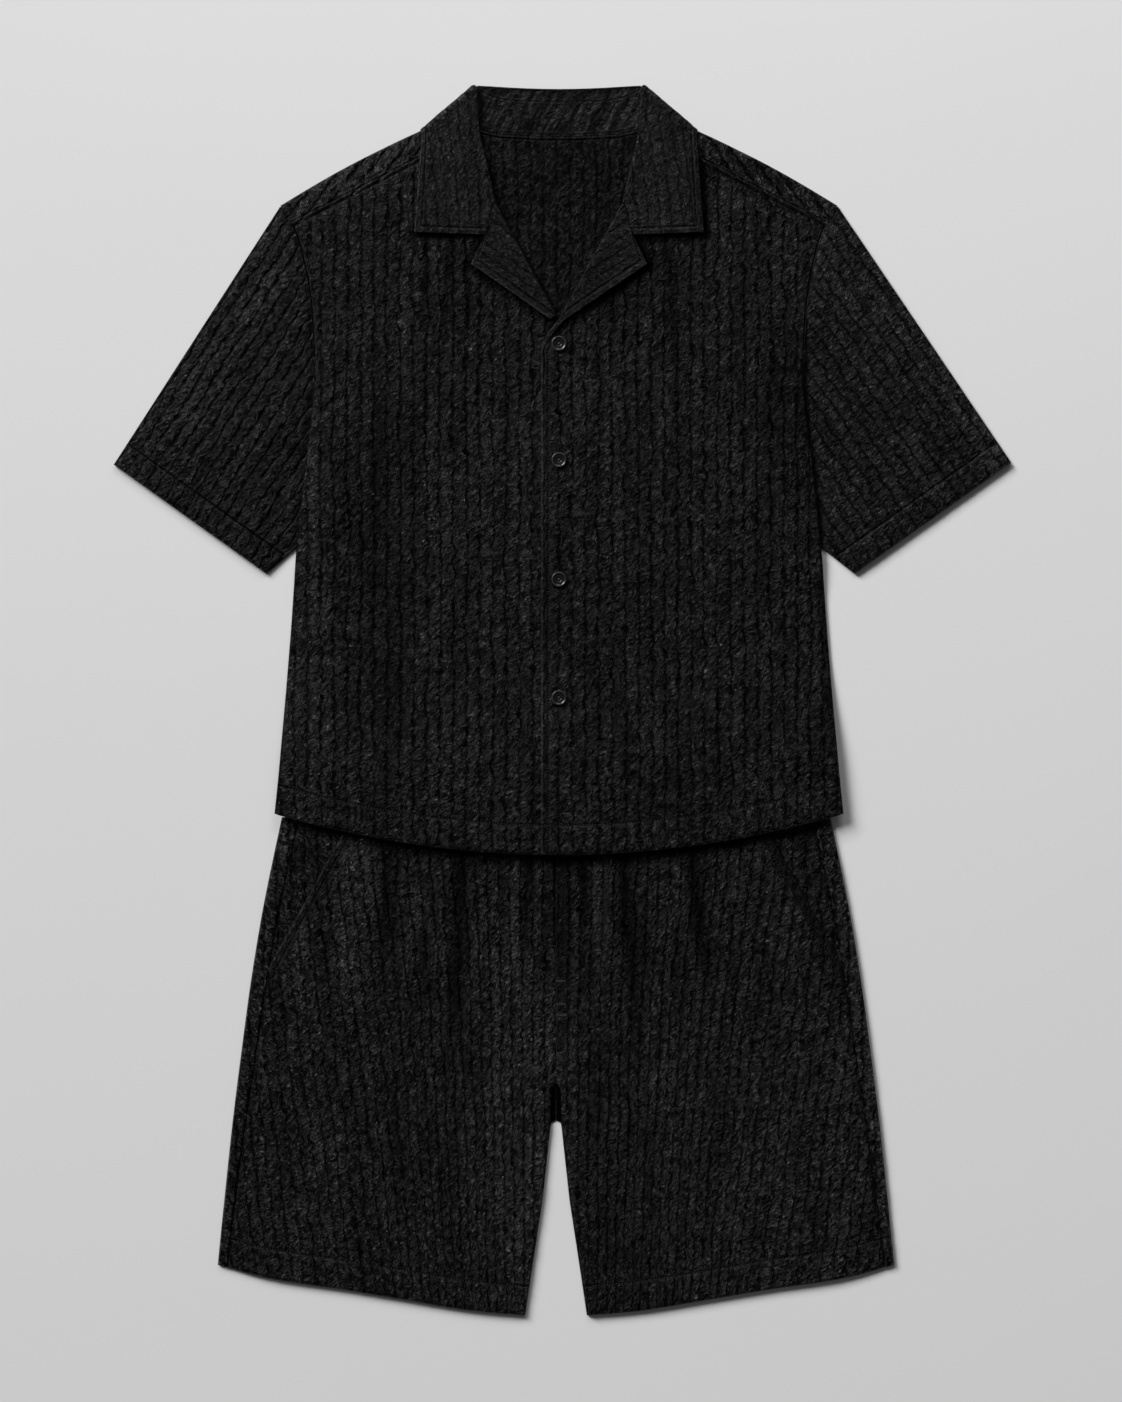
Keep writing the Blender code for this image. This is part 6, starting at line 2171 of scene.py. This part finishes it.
@dataclass
class Waistband:
    """The elastic waistband, a flattened ring gathered along its upper face."""

    top: float = -78.5
    bottom: float = -116.8
    half_top: float = 262.0
    half_bottom: float = 272.0
    cloth: float = 2.2
    radius: float = 3.0

    def build(self, finish: bpy.types.Material) -> bpy.types.Object:
        """Builds the ring: fine gathers on top, half circles at both ends, plain below.

        Args:
            finish: The material.

        Returns:
            The piece.
        """
        rows = np.linspace(self.bottom, self.top, 20)
        half = np.interp(rows, (self.bottom, self.top), (self.half_bottom, self.half_top)) - self.radius
        share = np.linspace(-1.0, 1.0, 280)[:, None]
        gathers = 0.4 * (1.0 + np.sin(share * 190.0 + 1.5 * Ripples(7).at(share * 40.0, rows / 30.0)))
        channel = 0.35 * bell(np.mod(rows - self.bottom, 9.6) - 4.8, 1.2)
        upper = np.stack(np.broadcast_arrays(half * share, rows, 2.0 * self.radius + gathers - channel), -1)
        upper_in = upper.copy()
        upper_in[..., 2] = 2.0 * self.radius - self.cloth
        turn = np.radians(np.linspace(70.0, -90.0, 8))[:, None]
        ends = []
        for sign in (1.0, -1.0):
            pair = []
            for r in (self.radius, self.radius - self.cloth):
                x = sign * (half + r * np.cos(turn))
                pair.append(np.stack(np.broadcast_arrays(x, rows, self.radius + r * np.sin(turn)), -1))
            ends.append(pair)
        below = half * np.array([0.6, 0.2, -0.2, -0.6])[:, None]
        flat = np.stack(np.broadcast_arrays(below, rows, 0.0 * rows), -1)
        flat_in = flat + np.array([0.0, 0.0, self.cloth])
        skin = np.concatenate([upper, ends[0][0], flat, ends[1][0][::-1]])
        lining = np.concatenate([upper_in, ends[0][1], flat_in, ends[1][1][::-1]])
        stations = np.concatenate([spread(280, 20), 280 + np.arange(20)])
        shell = Shell("waistband_cloth", skin, lining, stations, True,
                      Crinkle(seed=81).coordinates(skin[..., 0], skin[..., 1]))
        piece = shell.sewn(Side.LEFT, SHORTS_CENTRE, finish, "waistband")
        return piece


@dataclass
class Button:
    """A turned button with a raised rim, a dished face and a pit in the middle."""

    form: ShirtForm
    index: int
    radius: float = 7.5
    profile: tuple = (
        (0.0, 0.0), (5.4, 0.0), (6.6, 0.25), (7.2, 0.8), (7.5, 1.5), (7.45, 2.1), (7.2, 2.55), (6.75, 2.72),
        (6.3, 2.66), (5.9, 2.35), (5.4, 2.08), (4.6, 1.95), (3.2, 1.88), (2.75, 1.85), (2.5, 1.7), (2.35, 1.3),
        (2.1, 1.12), (1.3, 1.1), (0.95, 1.18), (0.8, 1.5), (0.55, 1.72), (0.0, 1.8),
    )
    # Painted highlight on the rim's top and the middle, as rows of (ring, share).
    polish: tuple = (
        (0, 0.0), (4, 0.2), (5, 1.0), (6, 1.0), (7, 0.4), (8, 0.0), (11, 0.0), (13, 0.3), (14, 0.0), (17, 0.0),
        (18, 0.4), (19, 1.0),
    )
    sides: int = 48

    def build(self, finish: bpy.types.Material) -> bpy.types.Object:
        """Builds the button: its profile carried round the axis.

        Args:
            finish: The material.

        Returns:
            The piece.
        """
        y = self.form.buttons[self.index - 1]
        base = float(self.form.front_underside(0.0, y - self.radius, Side.LEFT)) + CLOTH + CAD_RIB + SEAM
        ring = np.array(self.profile[1:-1])
        turn = np.linspace(0.0, 2.0 * np.pi, self.sides, endpoint=False)
        points = np.stack(np.broadcast_arrays(
            ring[:, :1] * np.cos(turn), ring[:, :1] * np.sin(turn), ring[:, 1:] + 0.0 * turn), -1).reshape(-1, 3)
        points = np.concatenate([points, [[0.0, 0.0, self.profile[0][1]], [0.0, 0.0, self.profile[-1][1]]]])
        points += np.array([SHIRT_CENTRE[0], y + SHIRT_CENTRE[1], base])
        grid = np.arange(len(ring) * self.sides).reshape(len(ring), self.sides)
        after = np.roll(grid, -1, axis=1)
        quads = np.stack([grid[:-1], after[:-1], after[1:], grid[1:]], -1).reshape(-1, 4)
        low, high = len(points) - 2, len(points) - 1
        floor = np.stack([after[0], grid[0], np.full(self.sides, low)], -1)
        crown = np.stack([grid[-1], after[-1], np.full(self.sides, high)], -1)
        corners = np.concatenate([quads.ravel(), floor.ravel(), crown.ravel()])
        sizes = np.concatenate([np.full(len(quads), 4), np.full(2 * self.sides, 3)])
        piece = make_mesh(f"button_{self.index}_horn", points * MM, corners, sizes, finish)
        # Painted highlight for each ring, none under the button and full at its middle.
        polish = np.repeat(table_at(self.polish, np.arange(len(ring))), self.sides)
        attribute = piece.data.attributes.new("polish", "FLOAT", "POINT")
        attribute.data.foreach_set("value", np.append(polish, [0.0, 1.0]).astype(np.float32))
        return dress(piece, f"button_{self.index}")


@dataclass
class StitchRow:
    """A row of machine stitches: small rounded threads laid end to end on the cloth."""

    name: str
    pitch: float = 3.0
    length: float = 2.1
    thickness: float = 0.42
    rings: int = 5
    sides: int = 6

    def build(self, lines: list[np.ndarray], finish: bpy.types.Material) -> bpy.types.Object:
        """Lays one thread at each step along the lines.

        Each thread is five rings of six points, fat in the middle and sunk at its
        ends, turned along the line.

        Args:
            lines: Arrays of points in the set's frame, in millimetres.
            finish: The material.

        Returns:
            The joined stitches.
        """
        spots, ways = [], []
        for line in lines:
            runs = np.linalg.norm(np.diff(line, axis=0), axis=1)
            reach = np.concatenate([[0.0], np.cumsum(runs)])
            at = np.arange(self.pitch, reach[-1] - self.pitch, self.pitch)
            spot = np.stack([np.interp(at, reach, line[:, k]) for k in range(3)], -1)
            ahead = np.stack([np.interp(at + 1.0, reach, line[:, k]) for k in range(3)], -1)
            way = ahead - spot
            spots.append(spot)
            ways.append(way / np.linalg.norm(way, axis=1)[:, None])
        spot, way = np.concatenate(spots), np.concatenate(ways)
        sideways = np.cross(way, np.array([0.0, 0.0, 1.0]))
        sideways /= np.linalg.norm(sideways, axis=1)[:, None]
        up = np.cross(sideways, way)
        rings = np.linspace(-1.0, 1.0, self.rings)
        fat = self.thickness * np.sqrt(1.0 - 0.85 * rings ** 2)
        sink = -0.45 * rings ** 2
        turn = np.linspace(0.0, 2.0 * np.pi, self.sides, endpoint=False)
        local_along = np.repeat(rings * self.length / 2.0, self.sides)
        local_side = (fat[:, None] * np.cos(turn)).ravel()
        local_up = (fat[:, None] * np.sin(turn) + sink[:, None]).ravel()
        points = (spot[:, None] + way[:, None] * local_along[None, :, None]
                  + sideways[:, None] * local_side[None, :, None] + up[:, None] * local_up[None, :, None])
        grid = np.arange(self.rings * self.sides).reshape(self.rings, self.sides)
        after = np.roll(grid, -1, axis=1)
        quads = np.stack([grid[:-1], grid[1:], after[1:], after[:-1]], -1).reshape(-1, 4)
        ends = np.stack([grid[0], grid[-1][::-1]])
        template = np.concatenate([quads.ravel(), ends.ravel()])
        offset = grid.size * np.arange(len(spot))[:, None]
        sizes = np.tile(np.concatenate([np.full(len(quads), 4), [self.sides] * 2]), len(spot))
        corners = (template[None, :] + offset).ravel()
        return dress(make_mesh(self.name, points.reshape(-1, 3) * MM, corners, sizes, finish), None)


def on_cloth(
    front: Front | ShortsFront, x: np.ndarray, y: np.ndarray, rise: float, centre: tuple,
) -> np.ndarray:
    """Points on a front's upper face in the set's frame, raised a little."""
    return moved(np.stack([x, y, front.top(x, y) + rise], -1), front.side, centre)


@dataclass(frozen=True)
class Finishes:
    """The made materials.

    cloth is for the panels. drawn is for the right sleeve and the shoulders, where
    the ribs are drawn straight, and squared for the left sleeve, whose creases run
    across the ribs. collar is for the interlined collar and lapels, smoother and a
    little paler, and reverse for the cloth's wrong side inside the neck, made
    darker as painted shade.
    """

    cloth: bpy.types.Material
    drawn: bpy.types.Material
    squared: bpy.types.Material
    collar: bpy.types.Material
    reverse: bpy.types.Material
    horn: bpy.types.Material
    thread: bpy.types.Material


@dataclass
class Shirt:
    """The whole shirt."""

    form: ShirtForm = field(default_factory=ShirtForm)
    left_folds: tuple = (
        dict(low=300.0, high=455.0, x_low=118.0, x_high=110.0, width=5.0, depth=-0.9),
        dict(low=320.0, high=455.0, x_low=96.0, x_high=88.0, width=4.0, depth=0.8),
    )
    # Bands of painted shade (strength above 0) and painted light (below 0) on the fronts.
    left_light_shade_bands: tuple = (
        (62.0, 340.0, 500.0, 45.0, 0.3), (226.0, 170.0, 400.0, 22.0, 0.3), (110.0, 380.0, 480.0, 40.0, 0.15),
    )
    right_light_shade_bands: tuple = (
        (184.0, -60.0, 310.0, 34.0, 0.32), (249.0, -190.0, 290.0, 13.0, -0.42), (60.0, -160.0, 300.0, 60.0, -0.1),
    )
    right_folds: tuple = (
        dict(low=330.0, high=462.0, x_low=140.0, x_high=132.0, width=4.5, depth=-1.2),
        dict(low=300.0, high=462.0, x_low=116.0, x_high=110.0, width=4.5, depth=-1.3),
        dict(low=340.0, high=460.0, x_low=94.0, x_high=87.0, width=4.0, depth=-1.0),
        dict(low=330.0, high=460.0, x_low=104.0, x_high=98.0, width=4.0, depth=0.7),
    )

    def build(self, finishes: Finishes) -> None:
        """Builds every piece of the shirt, in the finish that suits it.

        Args:
            finishes: The made materials.
        """
        form = self.form
        back = Back(form, Crinkle(seed=11, cord=0.4))
        back.panel(finishes.reverse)
        for side, seed in ((Side.LEFT, 12), (Side.RIGHT, 13)):
            back.shoulder(side, Crinkle(seed=seed, pucker=0.14, crease=0.15, cord=0.9), finishes.drawn)
        left = Front(form, Side.LEFT, Crinkle(seed=21, cross=0.35), folds=self.left_folds, light_shade_bands=self.left_light_shade_bands)
        right = Front(form, Side.RIGHT, Crinkle(seed=22), folds=self.right_folds, light_shade_bands=self.right_light_shade_bands)
        left.build(finishes.cloth)
        right.build(finishes.cloth)
        Collar(form, Crinkle(seed=31, pitch=11.0)).build(finishes.collar)
        for side, seed in ((Side.LEFT, 32), (Side.RIGHT, 33)):
            Lapel(form, side, Crinkle(seed=seed, pitch=10.5)).build(finishes.collar)
        squared = Crinkle(seed=41, cord=0.26, pucker=0.42, crease=0.5, slant=8.0)
        Sleeve(form, Side.LEFT, squared, slope=55.9, reach=(310.3, 314.4), width=215.6,
               cuff=191.9).build(finishes.squared)
        drawn = Crinkle(seed=42, pitch=11.8, cord=0.9, pucker=0.18, crease=0.22, slant=76.0)
        Sleeve(form, Side.RIGHT, drawn).build(finishes.drawn)
        for index in range(1, len(form.buttons) + 1):
            Button(form, index).build(finishes.horn)
        self.stitch(left, right, finishes.thread)

    def stitch(self, left: Front, right: Front, thread: bpy.types.Material) -> None:
        """Lays the hem and placket stitches.

        Args:
            left: The wearer's left front.
            right: The wearer's right front.
            thread: The finish.
        """
        form = self.form
        lines = []
        for front, first in ((left, -17.0), (right, 18.5)):
            x = np.linspace(first, 274.0, 700)
            lines.append(on_cloth(front, x, form.hem(x) + form.hem_band.width, STITCH_RISE, SHIRT_CENTRE))
        y = np.linspace(-152.0, 352.0, 1200)
        x = np.full(y.shape, left.edge_stitch - form.placket_lap)
        lines.append(on_cloth(left, x, y, STITCH_RISE, SHIRT_CENTRE))
        StitchRow("shirt_stitches").build(lines, thread)


@dataclass
class Shorts:
    """The whole pair of shorts."""

    form: ShortsForm = field(default_factory=ShortsForm)
    bar_tacks: tuple = (-280.5, -303.5, -314.5)
    # Bands of painted shade (strength above 0) and painted light (below 0) on the fronts.
    left_light_shade_bands: tuple = ((36.0, -620.0, -300.0, 30.0, 0.2),)
    right_light_shade_bands: tuple = (
        (26.0, -640.0, -190.0, 42.0, -0.4), (196.0, -330.0, -90.0, 24.0, -0.45),
        (262.0, -330.0, -110.0, 16.0, -0.3), (160.0, -520.0, -330.0, 26.0, 0.2),
    )

    def build(self, cloth: bpy.types.Material, thread: bpy.types.Material) -> None:
        """Builds every piece of the shorts.

        Args:
            cloth: Finish of the panels.
            thread: Finish of the stitches.
        """
        form = self.form
        fronts = []
        rows = ((Side.LEFT, 51, 0.4, self.left_light_shade_bands), (Side.RIGHT, 52, 0.1, self.right_light_shade_bands))
        for side, seed, cross, light_shade_bands in rows:
            ShortsBack(form, side, Crinkle(seed=seed + 10)).build(cloth)
            PocketFacing(form, side, Crinkle(seed=seed + 20)).build(cloth)
            front = ShortsFront(form, side, Crinkle(seed=seed, cross=cross, slant=50.0, pitch=11.8), 0.12, light_shade_bands)
            front.build(cloth)
            fronts.append(front)
        Waistband().build(cloth)
        self.stitch(fronts, thread)

    def stitch(self, fronts: list[ShortsFront], thread: bpy.types.Material) -> None:
        """Lays the hem, pocket and fly stitches.

        Args:
            fronts: Both fronts.
            thread: The finish.
        """
        form = self.form
        lines = []
        for front in fronts:
            x = np.linspace(34.0, 322.0, 700)
            y = form.hem(x) + form.hem_band.width
            inside = x < form.side_seam(y) - 2.0
            lines.append(on_cloth(front, x[inside], y[inside], STITCH_RISE, SHORTS_CENTRE))
            y = np.linspace(form.top - 8.0, form.mouth[1][0] - 8.0, 400)
            lines.append(on_cloth(front, form.outer(y) - 8.5, y, STITCH_RISE, SHORTS_CENTRE))
            if front.side is Side.LEFT:
                centre = ((form.centre_stitch, form.top - 20.0), (form.centre_stitch, -384.0))
                for line in (centre, front.fly):
                    x, y = along_line(line, np.linspace(0.0, 1.0, 700)).T
                    lines.append(on_cloth(front, x, y, 0.25, SHORTS_CENTRE))
        StitchRow("shorts_stitches").build(lines, thread)
        bars = []
        x = np.linspace(-0.5, 10.0, 24)
        for place in self.bar_tacks:
            for row in (-0.7, 0.0, 0.7):
                y = np.full(x.shape, place + row)
                points = np.stack([x, y, fronts[0].top(np.maximum(x, 0.6), y) + 0.35], -1)
                bars.append(moved(points, Side.LEFT, SHORTS_CENTRE))
        StitchRow("fly_bar_tacks", pitch=1.2, length=1.5, thickness=0.36).build(bars, thread)


@dataclass
class Studio:
    """The pale floor, the soft lights and the camera."""

    camera_height: float = 3.0
    floor_colour: tuple = (0.745, 0.743, 0.747)
    key_place: tuple = (-15.5, 16.0, 15.0)
    key_size: float = 11.5
    key_power: float = 8900.0
    fill_place: tuple = (0.3, 2.4, 1.8)
    fill_size: float = 1.2
    fill_power: float = 20.0
    floor_half: float = 6.0
    world_strength: float = 0.075

    def lamp(self, name: str, place: tuple, size: float, power: float) -> None:
        """Adds a square soft light aimed at the middle of the set.

        Args:
            name: Its name.
            place: Where it stands, in metres.
            size: Its side.
            power: Its watts.
        """
        light = bpy.data.lights.new(name, "AREA")
        light.size = size
        light.energy = power
        holder = bpy.data.objects.new(name, light)
        holder.location = place
        x, y, z = place
        holder.rotation_euler = (math.atan2(math.hypot(x, y), z), 0.0, math.atan2(x, -y))
        bpy.context.scene.collection.objects.link(holder)

    def build(self) -> None:
        """Builds the floor, the lights, the world and the camera."""
        scene = bpy.context.scene
        scene.view_settings.view_transform = "Standard"
        corners = np.array([[-1, -1, 0], [1, -1, 0], [1, 1, 0], [-1, 1, 0]]) * self.floor_half
        paper = PlainFinish("pale_paper", self.floor_colour, 0.9, specular=0.1, mottle=0.01, scale=3.0, bump=0.02)
        floor = make_mesh("floor", corners, np.arange(4), np.array([4]), paper.make())
        self.lamp("key_light", self.key_place, self.key_size, self.key_power)
        self.lamp("fill_light", self.fill_place, self.fill_size, self.fill_power)
        world = bpy.data.worlds.new("soft_room")
        world.use_nodes = True
        world.node_tree.nodes["Background"].inputs["Color"].default_value = (1.0, 1.0, 1.0, 1.0)
        world.node_tree.nodes["Background"].inputs["Strength"].default_value = self.world_strength
        scene.world = world
        camera = bpy.data.cameras.new("camera")
        camera.sensor_width = 36.0
        camera.sensor_fit = "AUTO"
        camera.lens = camera.sensor_width * self.camera_height / (PHOTO_HEIGHT * PHOTO_MM_PER_PIXEL * MM)
        holder = bpy.data.objects.new("camera", camera)
        holder.location = (-1.6 * MM, -0.7 * MM, self.camera_height)
        scene.collection.objects.link(holder)
        scene.camera = holder


def main() -> None:
    """Builds the set in order."""
    logging.basicConfig(level=logging.INFO, format="%(name)s %(message)s")
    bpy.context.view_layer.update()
    finishes = Finishes(
        cloth=RibClothFinish().make(),
        drawn=RibClothFinish(
            "rib_cloth_drawn", pale=(0.026, 0.026, 0.027, 1.0), slant=1.3, groove_depth=0.0019,
            pucker_depth=0.0016, crease_depth=0.0012, crease_share=0.4, seam_dark=0.3,
        ).make(),
        squared=RibClothFinish(
            "rib_cloth_squared", slant=0.12, groove_depth=0.0003, pucker_depth=0.002, crease_share=0.8,
            seam_dark=0.3,
        ).make(),
        collar=RibClothFinish(
            "rib_cloth_collar", dark=(0.0012, 0.0012, 0.0013, 1.0), pale=(0.0215, 0.0215, 0.0222, 1.0),
            specular=0.31, fineness=2.0, groove_depth=0.0006, pucker_depth=0.0018, crease_depth=0.0013,
            seam_depth=0.0004, seam_dark=0.35,
        ).make(),
        # The cloth's wrong side, with its tone made darker as painted shade inside the neck.
        reverse=RibClothFinish(
            "rib_cloth_reverse_shaded", pale=(0.014, 0.014, 0.0147, 1.0), specular=0.17, fineness=2.1,
            groove_depth=0.0005, pucker_depth=0.0006, crease_depth=0.0008, crease_share=0.6,
        ).make(),
        horn=HornFinish().make(),
        thread=PlainFinish("black_thread", (0.016, 0.016, 0.017), 0.5, mottle=0.2, scale=900.0, bump=0.2).make(),
    )
    Shirt().build(finishes)
    Shorts().build(finishes.cloth, finishes.thread)
    Studio().build()


if __name__ == "__main__":
    main()
